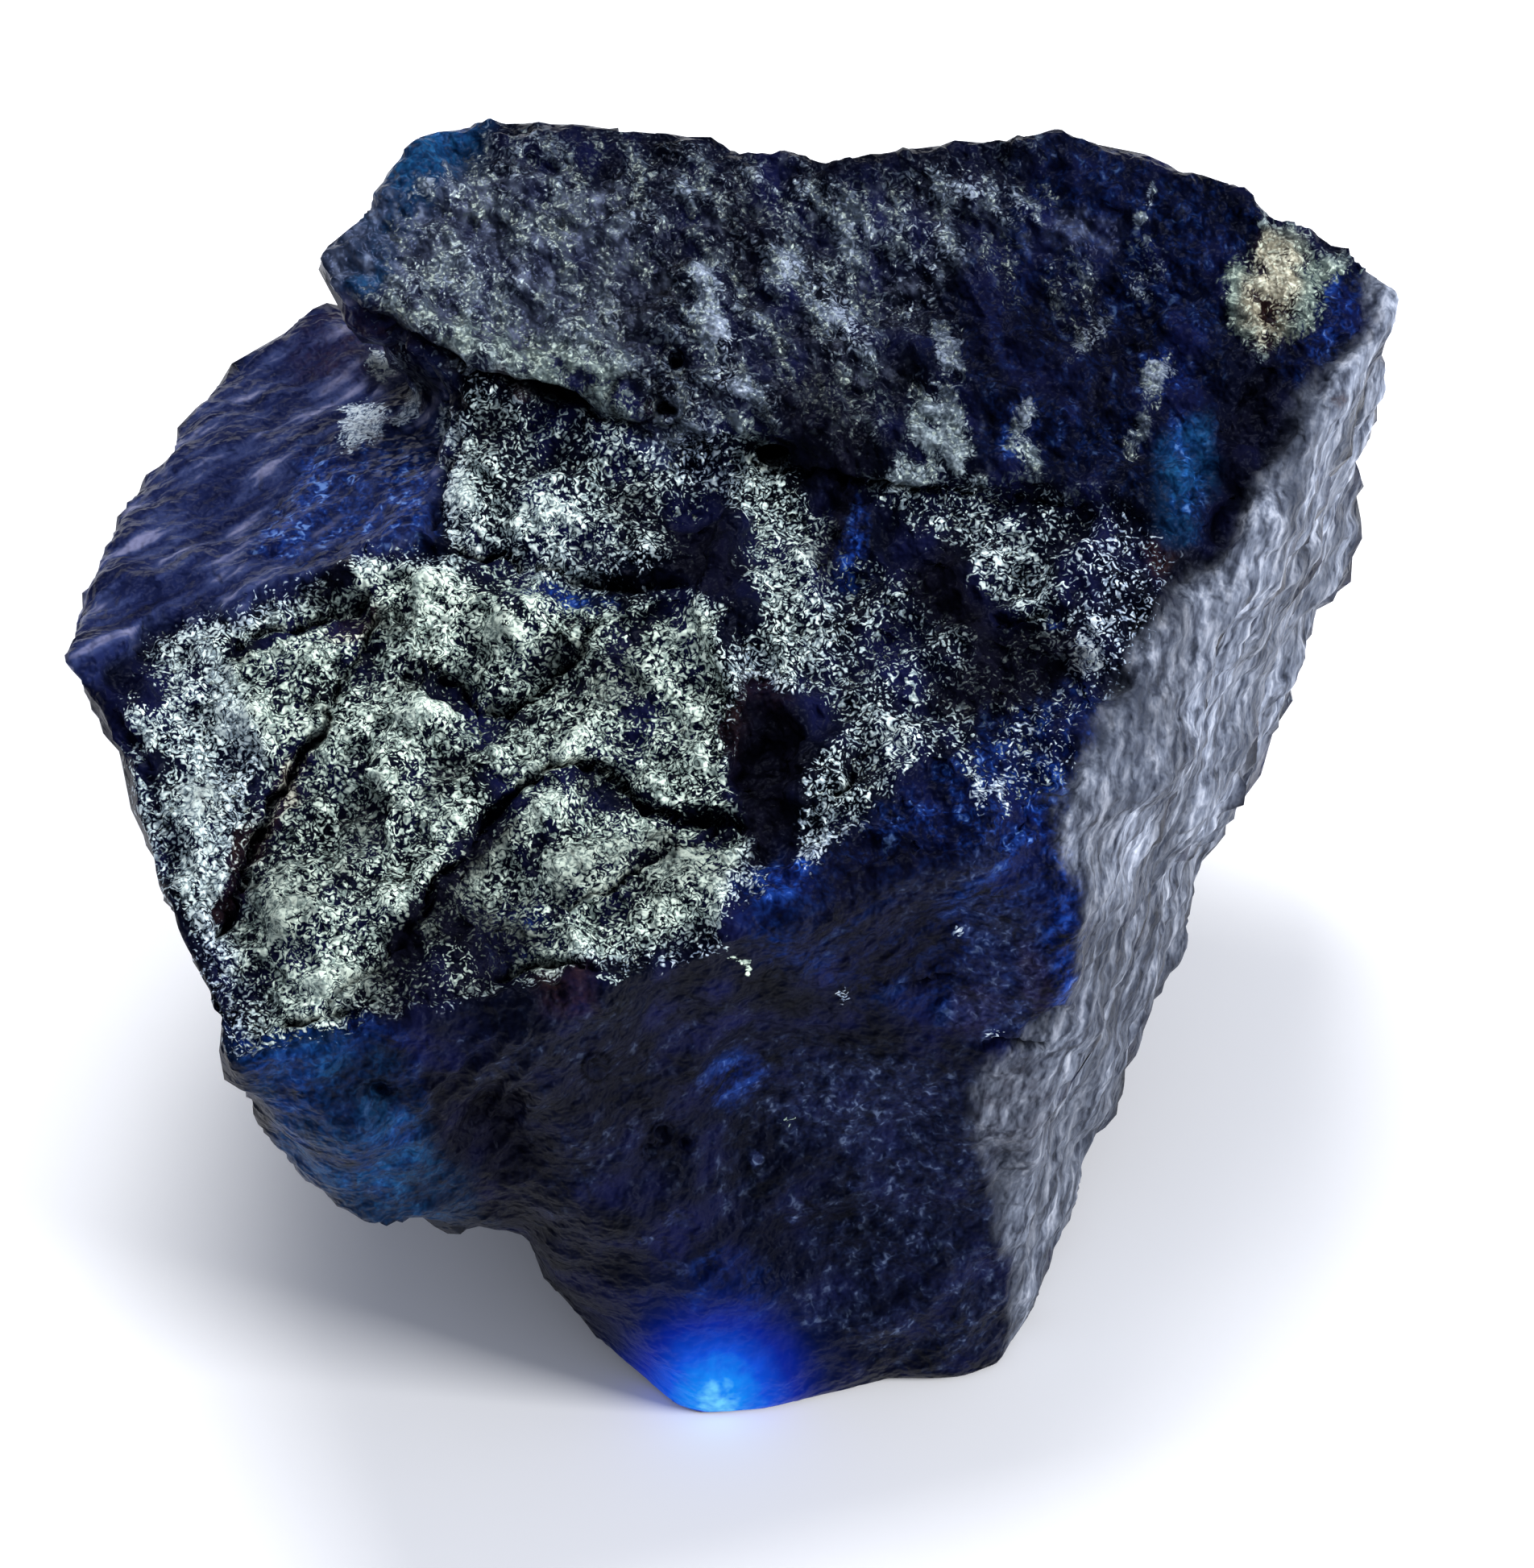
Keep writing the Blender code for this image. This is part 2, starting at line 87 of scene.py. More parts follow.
# ---- cracks: points (across, up, half width, depth) -------------------------------------------
CRACKS = [
    # under the lip of the rear block
    [(-14.2, 40.2, 0.24, 1.0), (-12.8, 39.4, 0.28, 1.3), (-11.7, 38.8, 0.28, 1.4),
     (-10.1, 37.9, 0.22, 1.1), (-9.4, 37.5, 0.12, 0.7), (-8.4, 37.2, 0.16, 0.9),
     (-7.0, 36.6, 0.24, 1.3), (-6.1, 36.4, 0.26, 1.3), (-5.3, 36.2, 0.18, 0.9),
     (-4.6, 35.8, 0.08, 0.4), (-2.5, 35.1, 0.08, 0.3), (-0.2, 34.6, 0.08, 0.3),
     (2.7, 33.8, 0.08, 0.4), (4.2, 33.5, 0.09, 0.6), (5.9, 33.3, 0.09, 0.6),
     (7.5, 33.2, 0.09, 0.5), (9.0, 32.9, 0.08, 0.4), (12.1, 32.8, 0.08, 0.3),
     (14.2, 32.8, 0.08, 0.2)],
    # across the top, one below another
    [(-10.4, 31.2, 0.11, 0.5), (-9.1, 30.9, 0.11, 0.6), (-8.2, 31.0, 0.09, 0.6),
     (-7.4, 30.5, 0.09, 0.6), (-6.4, 30.5, 0.09, 0.5), (-5.6, 30.0, 0.13, 0.7),
     (-3.9, 29.9, 0.16, 0.8), (-2.6, 29.9, 0.13, 0.6), (-1.4, 30.2, 0.09, 0.3)],
    [(-10.9, 27.4, 0.09, 0.4), (-9.9, 26.3, 0.12, 0.6), (-9.1, 25.5, 0.12, 0.7),
     (-8.2, 25.3, 0.13, 0.8), (-7.3, 25.5, 0.12, 0.7), (-6.6, 26.1, 0.11, 0.5),
     (-6.0, 26.8, 0.14, 0.5), (-5.2, 27.7, 0.14, 0.4), (-4.4, 28.7, 0.12, 0.3)],
    [(-9.4, 20.2, 0.11, 0.5), (-8.4, 21.6, 0.14, 0.7), (-7.5, 22.6, 0.13, 0.7),
     (-6.6, 23.2, 0.12, 0.6), (-5.6, 23.6, 0.12, 0.7), (-4.6, 23.4, 0.13, 0.8),
     (-3.9, 22.7, 0.13, 0.8), (-2.8, 21.7, 0.14, 0.9), (-1.7, 21.4, 0.13, 0.9),
     (-0.8, 21.5, 0.12, 0.8), (0.0, 21.3, 0.12, 0.8), (1.0, 21.2, 0.09, 0.4)],
    [(-0.1, 21.4, 0.09, 0.5), (-1.0, 21.0, 0.09, 0.6), (-2.1, 20.6, 0.09, 0.6),
     (-3.1, 19.8, 0.09, 0.6), (-3.9, 19.2, 0.09, 0.5), (-5.2, 18.7, 0.09, 0.4),
     (-6.4, 18.3, 0.08, 0.3)],
    [(-17.8, 27.5, 0.09, 0.3), (-16.8, 28.0, 0.11, 0.4), (-15.4, 28.4, 0.12, 0.6),
     (-14.2, 28.8, 0.13, 0.6), (-13.3, 29.2, 0.13, 0.5), (-12.6, 29.9, 0.09, 0.3)],
    [(-12.4, 29.4, 0.12, 0.4), (-12.8, 28.4, 0.14, 0.5), (-13.4, 27.2, 0.11, 0.4),
     (-14.0, 26.0, 0.13, 0.5), (-14.6, 24.8, 0.14, 0.6), (-15.6, 23.3, 0.16, 0.7),
     (-16.4, 21.8, 0.16, 0.7), (-17.0, 20.4, 0.16, 0.7), (-17.6, 18.8, 0.14, 0.6),
     (-18.2, 16.8, 0.13, 0.5)],
    [(-9.4, 20.2, 0.12, 0.5), (-10.4, 19.3, 0.13, 0.6), (-10.9, 18.2, 0.11, 0.5),
     (-11.6, 17.4, 0.09, 0.4), (-12.2, 16.4, 0.09, 0.3), (-14.6, 14.9, 0.09, 0.3)],
    [(-16.0, 14.3, 0.12, 0.5), (-14.6, 14.4, 0.13, 0.6), (-13.0, 15.0, 0.09, 0.3)],
    [(3.5, 22.2, 0.08, 0.4), (4.2, 22.8, 0.09, 0.5), (4.7, 23.6, 0.09, 0.5),
     (5.4, 24.3, 0.08, 0.3)],
    [(9.4, 28.6, 0.09, 0.4), (10.4, 28.7, 0.12, 0.6), (11.8, 28.7, 0.11, 0.5)],
    # the edge of the high patch above the left break
    [(-9.9, 37.0, 0.15, 0.4), (-9.9, 35.4, 0.13, 0.4), (-10.3, 33.4, 0.13, 0.4),
     (-10.7, 31.8, 0.12, 0.4)],
    # the front edge of the top
    [(-8.6, 15.6, 0.12, 0.4), (-7.4, 16.2, 0.13, 0.5), (-5.6, 16.4, 0.13, 0.5),
     (-4.0, 16.3, 0.09, 0.3)],
    [(5.8, 15.4, 0.08, 0.2), (7.0, 15.6, 0.08, 0.3), (8.2, 15.8, 0.08, 0.2)],
    [(8.8, 13.3, 0.09, 0.3), (10.2, 13.4, 0.11, 0.4), (11.4, 13.2, 0.08, 0.3)],
]

# ---- narrow ridges: points (across, up, half width, height) -----------------------------------
RIDGES = [
    [(-0.3, 27.6, 0.22, 0.25), (0.1, 26.8, 0.24, 0.35), (0.2, 26.2, 0.26, 0.40),
     (0.2, 25.1, 0.24, 0.35), (-0.1, 24.0, 0.22, 0.30), (-0.4, 22.6, 0.20, 0.25)],
    [(-10.3, 31.6, 0.4, 0.2), (-12.4, 30.7, 0.4, 0.2), (-14.6, 29.9, 0.4, 0.2),
     (-17.0, 28.9, 0.3, 0.1)],
    [(1.9, 31.6, 0.3, 0.2), (3.0, 29.6, 0.3, 0.3), (3.2, 27.2, 0.3, 0.2)],
    # the streaky slope beside the lobe
    [(-6.6, 14.3, 0.22, 0.20), (-8.6, 13.0, 0.24, 0.28), (-10.6, 10.6, 0.22, 0.26),
     (-12.0, 8.4, 0.20, 0.14)],
    [(-6.0, 13.4, 0.20, 0.18), (-7.9, 12.0, 0.22, 0.26), (-9.6, 9.8, 0.20, 0.24),
     (-10.8, 7.9, 0.18, 0.12)],
    [(-7.6, 14.4, 0.18, 0.16), (-9.8, 12.9, 0.20, 0.22), (-11.6, 10.9, 0.20, 0.20)],
    [(-5.6, 12.4, 0.18, 0.14), (-7.2, 10.9, 0.20, 0.22), (-8.6, 8.9, 0.18, 0.18)],
]

# ---- pits: (across, up), (radius across, radius up), depth, height of the rim -----------------
PITS = [
    ((1.5, 34.5), (0.56, 0.36), 0.9, 0.12),
    ((-2.3, 36.2), (0.45, 0.45), 0.7, 0.10),
    ((-2.0, 37.9), (0.36, 0.36), 0.5, 0.08),
    ((-3.4, 36.5), (0.60, 0.60), 0.0, 0.12),
    ((-11.5, 26.6), (0.36, 0.36), 0.35, 0.10),
    ((-12.4, 28.5), (0.34, 0.36), 0.35, 0.10),
    ((-11.8, 28.7), (0.30, 0.34), 0.35, 0.10),
    ((-7.7, 18.7), (0.34, 0.34), 0.30, 0.10),
    ((-2.4, 20.5), (0.34, 0.30), 0.25, 0.10),
    ((-6.0, 15.2), (0.26, 0.26), 0.25, 0.06),
    ((-4.8, 12.6), (0.34, 0.34), 0.22, 0.08),
    ((-17.6, 27.5), (0.26, 0.26), 0.25, 0.06),
    ((-12.5, 11.8), (0.30, 0.24), 0.25, 0.05),
    ((-2.4, 10.2), (0.30, 0.26), 0.30, 0.05),
    ((-1.6, 9.8), (0.26, 0.22), 0.30, 0.05),
    ((-2.9, 9.6), (0.22, 0.22), 0.25, 0.05),
    ((-14.9, 25.6), (0.30, 0.26), 0.30, 0.06),
    ((-17.3, 19.3), (0.36, 0.26), 0.30, 0.06),
]

# ---- the skin's build ---------------------------------------------------------------------------
MERGE_GAP = 0.001                    # millimetres between points that are merged
BOX_MARGIN = 0.01                    # millimetres kept free inside the solid's box
RAISED_SPAN = 1.6                    # millimetres of relief from the lowest to the highest share
WEIGHT_STEPS = 16                    # steps in which a vertex group is filled
PATH_REACH = 1.0                     # millimetres from a crack or ridge at which it has faded
CRACK_END, RIDGE_END = 0.06, 0.15    # share of the length over which each end fades
# painted shade: a crack or pit is painted black from this depth on
DEEP = 0.5                           # millimetres of depth at which a crack or pit is black
FOOT_EDGE = (0.3, 1.5)               # height where relief starts, and over which it grows
SEEN_FADE = (-0.05, 0.2)             # how squarely the skin faces where it comes into sight
FAR_FADE = (-0.25, -0.35)            # the same, where the far side's finish sets in
TOP_FADE = (0.0, 0.6)                # the same, where the top's relief sets in
HIDDEN_CORNER = (-8.0, 11.0, 27.0)   # the far corner is out of sight beyond x and y, under z
CORNER_FADE = 2.0

# sizes and reach, in millimetres, of the random pushes that make a drawn edge ragged
NOISE_SEED = 7
CRACK_WANDER = ((0.9, 0.30), (0.35, 0.14))
EDGE_WANDER = ((1.6, 0.45), (0.5, 0.24))

# the way the grain runs and the way the face looks, on the layout plane as across, up and out
GRAINS = {
    "top": ((-0.35, 0.93, -0.455), (0.0, 0.44, 0.90)),
    "crest": ((0.50, 0.78, -0.38), (0.0, 0.44, 0.90)),
    "side": ((0.277, 0.923, 0.268), (0.92, -0.337, 0.209)),
    "left": ((0.783, 0.45, -0.43), (-0.20, 0.837, 0.511)),
    "low": ((0.77, 0.62, 0.10), (0.05, -0.20, 0.98)),
}

# relief, in order: name, kind, size and height in mm, zone, grain, stretch along it, settings
FOLDED = {"noise_basis": "IMPROVED_PERLIN", "noise_depth": 3}
RELIEF = [
    ("knobs", "CLOUDS", 2.2, 2.5, "front_top", "crest", 1.6, FOLDED),
    ("creases", "CLOUDS", 2.4, 1.3, "front_top", "crest", 1.7,
     {"noise_basis": "VORONOI_F2_F1", "noise_depth": 1}),
    ("rear_knobs", "CLOUDS", 1.4, 1.8, "rear_top", "top", 2.2, FOLDED),
    ("lumps", "CLOUDS", 0.7, 0.50, "lumpy_top", "top", 1.3, {"noise_depth": 1}),
    ("grain", "STUCCI", 0.42, 0.10, "top", None, 1.0, {}),
    ("waves", "CLOUDS", 2.6, 0.8, "side", "side", 3.0, {}),
    ("fibres", "CLOUDS", 0.9, 0.65, "side", "side", 4.0, {}),
    ("threads", "CLOUDS", 0.45, 0.24, "side", "side", 3.0, {}),
    ("ripples", "CLOUDS", 0.8, 0.5, "left", "left", 3.4, {}),
    ("beads", "CLOUDS", 0.4, 0.16, "left", None, 1.0, {}),
    ("flow", "CLOUDS", 0.9, 0.40, "low", "low", 3.0, {}),
    ("sand", "CLOUDS", 0.4, 0.15, "low", None, 1.0, {}),
    ("far_lumps", "CLOUDS", 1.7, 1.3, "hidden", None, 1.0, {}),
    ("far_grain", "CLOUDS", 0.5, 0.30, "hidden", None, 1.0, {}),
]

# ---- the finish's layout ------------------------------------------------------------------------
FINISHES = ("frost", "tone", "blue", "teal", "haze", "side", "left", "low", "rear", "dark",
            "brown", "glow", "crack", "raised")
# painted glow: the foot's tip is given an emission, though the stone is no lamp
TIP, TIP_REACH = (-0.5, 0.5), 2.45   # the lit tip: across and up, and how far it glows

# the far side: share of a finish in its bare patches and share in its frosted ones
FAR_SHARES = {"rear": (1.0, 1.0), "frost": (0.02, 0.26), "tone": (0.4, 0.7),
              "haze": (0.25, 0.75), "blue": (0.30, 0.10)}
PATCH_SIZE = 5.0                     # millimetres across the far side's patches
PATCH_EDGE = 1.3                     # how sharply they end

# the material's places: a grain, and how far a pattern is drawn out along it
PLACES = {"top": ("top", 1.4), "rear": ("top", 2.2), "side": ("side", 4.0),
          "left": ("left", 3.6), "low": ("low", 3.0)}

# the material's patterns: place, size in mm, detail, roughness and distortion
PATTERNS = {
    "fine": ("all", 0.28, 1.5, 0.45, 1.0),
    "small": ("top", 0.55, 2.0, 0.5, 0.0),
    "crumbs": ("rear", 0.70, 1.0, 0.4, 0.0),
    "broad": ("top", 1.9, 1.0, 0.5, 0.0),
    "flow": ("low", 0.8, 2.0, 0.5, 0.0),
    "ripple": ("left", 0.75, 2.0, 0.5, 0.0),
    "fibre": ("side", 0.5, 3.0, 0.6, 0.0),
    "streak": ("side", 2.2, 1.0, 0.5, 0.0),
    "patch": ("rear", 0.8, 1.0, 0.5, 0.0),
    "crumb": ("all", 0.16, 1.0, 0.5, 0.0),
    "teeth": ("all", 0.34, 1.0, 0.4, 0.0),
}
NOISE_RANGE = (0.28, 0.72)           # most noise lies between these, and is spread from 0 to 1

# the material's shades: the pattern that each follows, and its stops. A name is a setting
SHADES = {
    "ground": ("broad", [(0.0, "#020309"), (0.5, "ground"), (1.0, "#0d1030")]),
    # the blue's palest stops are painted glints
    "sparks": ("sparks", [(0.0, "#02040f"), (0.25, "#07184e"), (0.55, "royal_blue"),
                          (0.8, "#7aa6f2")]),
    "wash": ("wash", [(0.0, "#040c1c"), (0.5, "#0b2c50"), (1.0, "teal")]),
    "front_mist": ("specks", [(0.0, "#0b1022"), (0.5, "#181e3c"), (0.8, "#2c3756"),
                              (1.0, "#5a6886")]),
    "rear_mist": ("small", [(0.0, "#10131e"), (0.4, "#262b3a"), (0.7, "#434a5e"),
                            (1.0, "#747e94")]),
    "indigo": ("ripple", [(0.0, "#0a0e2a"), (0.45, "#182046"), (0.75, "#303a62"),
                          (1.0, "#6e7090")]),
    "lilac": ("fibre", [(0.0, "#1c2028"), (0.3, "#464c5a"), (0.6, "#7a8292"), (1.0, "lilac")]),
    # frost shades: a pale crust whose palest stops are painted sheen
    "cool": ("pale", [(0.25, "#141a2a"), (0.46, "#76869e"), (0.64, "cool_frost")]),
    "warm": ("pale", [(0.25, "#171f1e"), (0.46, "#84978c"), (0.64, "warm_frost")]),
    "slate": ("pale", [(0.08, "#0c101a"), (0.34, "#3a4456"), (0.58, "#8e9ab0"),
                       (0.76, "#d2dae4")]),
    "moss": ("pale", [(0.10, "#0e1416"), (0.38, "#4c5a58"), (0.62, "#9caca0"),
                      (0.80, "#dce4d4")]),
    "ivory": ("pale", [(0.2, "#1a140e"), (0.42, "#857c68"), (0.62, "#e6e0c8")]),
    "stain": ("fine", [(0.0, "#120a08"), (1.0, "stain")]),
    "shadow": ("small", [(0.0, "#020206"), (1.0, "#0c0c18")]),
    # the painted glow's colours, sent out as emission
    "tip": ("lamp", [(0.0, "#000000"), (0.05, "#020a30"), (0.25, "#04208e"), (0.55, "#064cd2"),
                     (0.84, "tip_blue"), (1.0, "#78dcff")]),
}
CORUNDUM_IOR = 1.77

# ---- areas: share, feather, and the outline as across, up, across, up and so on -----------------
AREAS = {
    "side": [
        (1, 1.1, (23.2, 41, 23, 39.7, 22.5, 38.6, 21.5, 37.4, 20.6, 36.3, 19.9, 35.2, 19.1, 33.7,
         18.2, 32.3, 17.6, 31.3, 16.9, 30.3, 15.6, 28.7, 14.4, 26.4, 13.4, 25.4, 12.3, 23.5, 11.8, 21.7,
         12.3, 19, 12.8, 17.6, 12.5, 14.9, 11.6, 13.7, 10.4, 13.3, 9, 12.4, 8.8, 10.9, 9.2, 9.2, 9.6, 7.2,
         10.2, 5.1, 10.3, 3.4, 9.9, -0.7, 17.2, 7.4, 23, 21.9, 26.5, 33.5, 25.9, 41.6)),
    ],
    "left": [
        (1, 0.5, (-14.2, 40.2, -13.2, 39.3, -11.8, 38.6, -10.2, 37.7, -10, 36.9, -10.2, 35.4, -10.4, 33.4,
         -10.8, 31.9, -12.3, 31.2, -14.1, 30.9, -15.1, 30.2, -17.2, 29.3, -19.5, 28.8, -21.1, 28.3,
         -22.8, 26.3, -25.1, 26.8, -25.1, 30.6, -20.5, 39.3, -15.3, 41.3)),
    ],
    "low": [
        (1, 0.8, (-17.6, 13.1, -13.5, 13.9, -10.1, 14.8, -8.3, 15.5, -5.4, 16, -2.7, 16.1, -0.6, 16.6,
         0.5, 18.7, 2.7, 19.7, 6.2, 20.2, 12.3, 20.2, 12.6, 17.3, 12.3, 14.8, 8.8, 12.5, 8.9, 10.3,
         9.6, 7.2, 10.2, 3.4, 9.9, -1, -1.4, -1.3, -10.1, 5.7, -17.6, 7.4, -18.8, 12.3)),
    ],
    "rear": [
        (1, 0.6, (-15.3, 40.8, -14, 40.1, -11.8, 38.7, -10.1, 37.7, -7.7, 36.7, -5, 35.8, -0.1, 34.7,
         4.4, 33.5, 9, 33.2, 14.1, 32.8, 15.9, 32.1, 17.2, 34.7, 18.9, 37.9, 21.2, 38.1, 23, 40.9,
         21.2, 45.1, 17.2, 46.6, -0.2, 48, -12.4, 48, -15.9, 42.2)),
    ],
    # frost and painted sheen: where the top is painted pale
    "frost": [
        (0.88, 1, (-20.8, 28, -19, 28.6, -16.7, 29.3, -14.7, 30.2, -12.4, 30.9, -10.5, 31.5, -8.9, 30.9,
         -7.4, 30.3, -5.4, 29.7, -2.2, 29.4, -0.2, 29.3, 0.1, 26, -0.2, 23.1, 0.7, 20.8, 0.4, 18.7,
         -0.8, 16.7, -2.7, 16.3, -5.4, 16.3, -8.6, 15.7, -10.1, 15, -13.5, 14.3, -16.7, 13.5, -17.9, 13.2,
         -18.5, 15.8, -19.6, 18.1, -20.6, 20.8, -21.2, 23.1, -21.7, 24.8, -21.4, 26.6)),
        (0.62, 1, (-9.6, 37, -7.7, 36.7, -5.1, 35.8, -1.4, 34.7, -1.1, 33.5, -2.2, 32.3, -1.7, 31,
         -6, 30.6, -8.9, 30.9, -10.1, 31.5, -10.1, 33.5, -9.8, 35.2)),
        (0.9, 1, (-9.8, 35.5, -8.9, 34.7, -7.7, 32.9, -6, 33.2, -4.7, 32.1, -5.4, 30.8, -7.7, 30.9,
         -9.9, 31.5, -10.2, 33.5)),
        (0.72, 0.9, (0.7, 35.8, 2.3, 33.2, 3.6, 32.3, 4, 30, 4.3, 27.7, 3.6, 26, 2.3, 26.8, 1.5, 28,
         2.4, 29.4, 1.5, 31.2, 0.7, 32.9, -0.1, 34.7)),
        (0.66, 0.8, (-3.5, 37, -1.4, 37.3, 0.8, 35.8, 1.7, 34.4, 1.1, 32.9, -0.8, 33.5, -2.5, 34.5)),
        (0.76, 0.8, (-1.7, 35.1, -0.1, 34.7, 1.7, 32.9, 2.4, 31.6, 1.2, 31.6, -0.3, 32.9, -1.7, 33.8)),
        (0.95, 0.8, (0.7, 28, 2.3, 27.7, 2.7, 26.4, 1.7, 26, 0.7, 26.6)),
        (0.85, 0.6, (-0.6, 27.6, 0.4, 27.7, 0.8, 26.3, 0.5, 24.8, -0.1, 22.3, -0.8, 22.3, -0.5, 24.8,
         -0.8, 26.3)),
        (0.62, 1, (3.3, 26.8, 4.9, 27.7, 6.8, 26.6, 7, 24.2, 6.2, 23.1, 4.4, 21.6, 3, 20.9, 3, 23.4,
         4.1, 24.8)),
        (0.52, 1, (4.4, 33.5, 6.5, 34.7, 6.8, 37, 7.9, 37, 8.8, 33.8, 11.1, 30.9, 11.7, 28.9, 11, 28.4,
         9.5, 29.7, 8.2, 31.5, 6.2, 32.3)),
        (0.42, 1.2, (3.9, 30.6, 5.9, 30.6, 8.5, 28.9, 9.4, 26, 7.9, 23.9, 6.2, 24.8, 4.4, 26.8,
         3.7, 28.6)),
        (0.34, 1.2, (9.7, 33.5, 14.3, 32.9, 15.7, 30.9, 14.9, 27.7, 12.8, 25.4, 9.7, 24.2, 9.4, 27.7,
         11.7, 28.6, 11.1, 30.9)),
        (0.42, 1, (9.5, 25.1, 11.4, 25.7, 12, 23.1, 10.5, 21.9, 9.5, 23.1)),
        (0.24, 2.6, (-13.8, 43.4, -10.6, 46.1, -6, 46.4, -1.1, 45.8, 1, 45.4, 4.4, 44.4, 7, 45,
         11.1, 45.4, 10.8, 43.4, 7.9, 41.3, 6.2, 37.9, 4.4, 34.7, 1.5, 35.2, -1.4, 36.1, -4.3, 35.8,
         -7.7, 37, -10.6, 38.4, -13.8, 40.2, -14.7, 41.6)),
        (0.44, 1.4, (-12.4, 41.3, -10.1, 41.3, -7.7, 40.2, -4.8, 38.4, -3.1, 36.4, -3.4, 35.1, -5.1, 36,
         -7.7, 37, -10.1, 38, -12.7, 39.6)),
        (0.6, 0.9, (19.2, 43.3, 20.1, 42.5, 21.8, 41.9, 22.8, 41.2, 21.2, 40.8, 20.8, 39.3, 20.1, 38.4,
         18.9, 38.1, 18.1, 38.7, 17.6, 39.6, 17.9, 41, 18.9, 41.9)),
        (0, 1.2, (-15.6, 42.2, -13.5, 45.1, -11.2, 47.1, -8.6, 47.1, -8.9, 46, -10.5, 45.1, -12.1, 43.1,
         -12.8, 41.3, -13.8, 40.1, -15, 40.8)),
    ],
    "tone": [
        (0.85, 2, (-18.5, 27.7, -12.4, 30.9, -8.3, 30.9, -4.3, 30, 0.1, 29.3, 0.2, 24.8, 0.7, 20.8,
         -0.2, 17.6, -5.4, 16.3, -13.5, 14.3, -16.7, 13.5, -17.9, 17.6, -16.7, 23.4)),
        (0.45, 2, (-22.8, 27.7, -18.5, 28.6, -17.6, 24.8, -17.6, 19, -19.6, 16.7, -21.9, 23.4)),
        (0.55, 2, (-10.1, 37.3, -4.8, 35.8, -1.1, 33.5, -1.7, 31, -6, 30.6, -10.1, 31.5)),
        (0.6, 1.6, (0.7, 35.8, 3.6, 32.3, 4.3, 27.7, 2.7, 26, 0.4, 27.7, -0.2, 34.7)),
        (0.75, 1.5, (-12.4, 39.9, -10.1, 39.3, -4.8, 38.4, -3.1, 36.4, -3.4, 35.1, -7.7, 37)),
        (1, 1, (17.2, 43.7, 23, 41.3, 21.2, 38.1, 17.2, 38.1)),
        (0.4, 1.5, (3.9, 37.9, 12, 34.7, 12.3, 28.3, 8.5, 23.1, 2.7, 21, 2.7, 26.6)),
    ],
    "blue": [
        (0.42, 1.6, (5.9, 22.2, 7.9, 23.7, 9.7, 25.4, 12.3, 26.3, 13.4, 25.4, 12.3, 23.5, 11.8, 21.7,
         12.3, 19, 12.7, 17.6, 12.3, 14.8, 9.9, 13.5, 7, 14.7, 3.9, 15.5, 1.5, 16.4, 0.5, 18.4, 1.5, 19.9,
         3.9, 20.2)),
        (0.15, 3.4, (11.1, 45.4, 14.9, 45.4, 18.9, 43.7, 18.9, 41.9, 17.2, 39.3, 16.6, 34.7, 14.3, 33.5,
         9.7, 34.7, 7.9, 38.7, 9.4, 42.8)),
        (0.95, 1.2, (-15.3, 35.1, -12.7, 34.7, -10.9, 34.7, -10.8, 32.1, -12.4, 31.3, -15, 30.9,
         -16.7, 30.6, -17.6, 30.9, -15.9, 32.9)),
        (0.5, 1.2, (20.4, 41.3, 22.7, 41.2, 22.6, 39.6, 21.8, 38.4, 20.4, 37, 19.8, 38.1, 21, 39.3)),
        (0.65, 1, (-18.2, 14.1, -13.2, 14.7, -11.2, 13.5, -11.2, 10.3, -11.8, 8, -14.1, 8.3, -16.1, 10.3,
         -17.3, 12.3)),
    ],
    "teal": [
        (1, 1.4, (-15.6, 42.5, -13.8, 44.5, -11.2, 47.1, -8.3, 47.1, -8.9, 45.1, -10.9, 43.4, -12.2, 41.3,
         -13.2, 40.2, -15, 40.8)),
        (0.7, 1, (-18.2, 13.5, -14.1, 14.4, -11.8, 12.9, -10.6, 10.3, -9.2, 8, -8, 6.6, -12.4, 6.3,
         -14.7, 8.3, -16.4, 10.3)),
        (0.8, 1, (15.7, 35.1, 17.2, 35.8, 17.3, 33.8, 16.6, 31.8, 15.6, 31.6, 15.4, 33.5)),
        (1, 1.2, (-15.3, 11.7, -14.1, 11.7, -13.8, 10.3, -14.8, 10, -15.6, 10.6)),
    ],
    "haze": [
        (0.28, 2.4, (-10.1, 14.4, -6, 15.4, -1.7, 15.4, 2.7, 13.5, 8.5, 12.3, 8.8, 10.3, 6.5, 7.4,
         -0.2, 6.6, -4.3, 9.2, -6, 5.7, -7.7, 8.9, -10.6, 12.3)),
        (0.85, 2.6, (3, 13.5, 8.9, 12.6, 9.2, 9.2, 9.8, 5.7, 7, 6.8, 4.4, 9.2, 1.5, 10.9)),
        (0.8, 1.4, (8.6, 18.4, 11.1, 19.2, 11.3, 14.8, 9.9, 13.5, 8.2, 13.8, 7.9, 16.1)),
        (0.5, 2.4, (2.7, 7.4, 9.1, 9.2, 10.3, 3.9, 9.7, 1.6, 5, 1.6, 1.5, 3.9)),
        (0.85, 2, (-13.8, 41.3, -10.1, 45.1, -4.3, 44.2, -2.5, 41.3, -3.1, 37, -7.7, 37.3, -11.8, 38.7)),
        (0.24, 3, (-3.1, 45.1, 4.4, 44.2, 11.1, 45.1, 10.5, 42.2, 7, 38.7, 4.1, 35.2, -0.8, 36.4,
         -2.5, 41.3)),
    ],
    # painted shade: darker patches over the frosted top and over the right face
    "dark": [
        (0.5, 1.8, (-5, 41.3, -3.1, 41.6, -2.5, 39.9, -3.1, 38.1, -4.7, 38.4)),
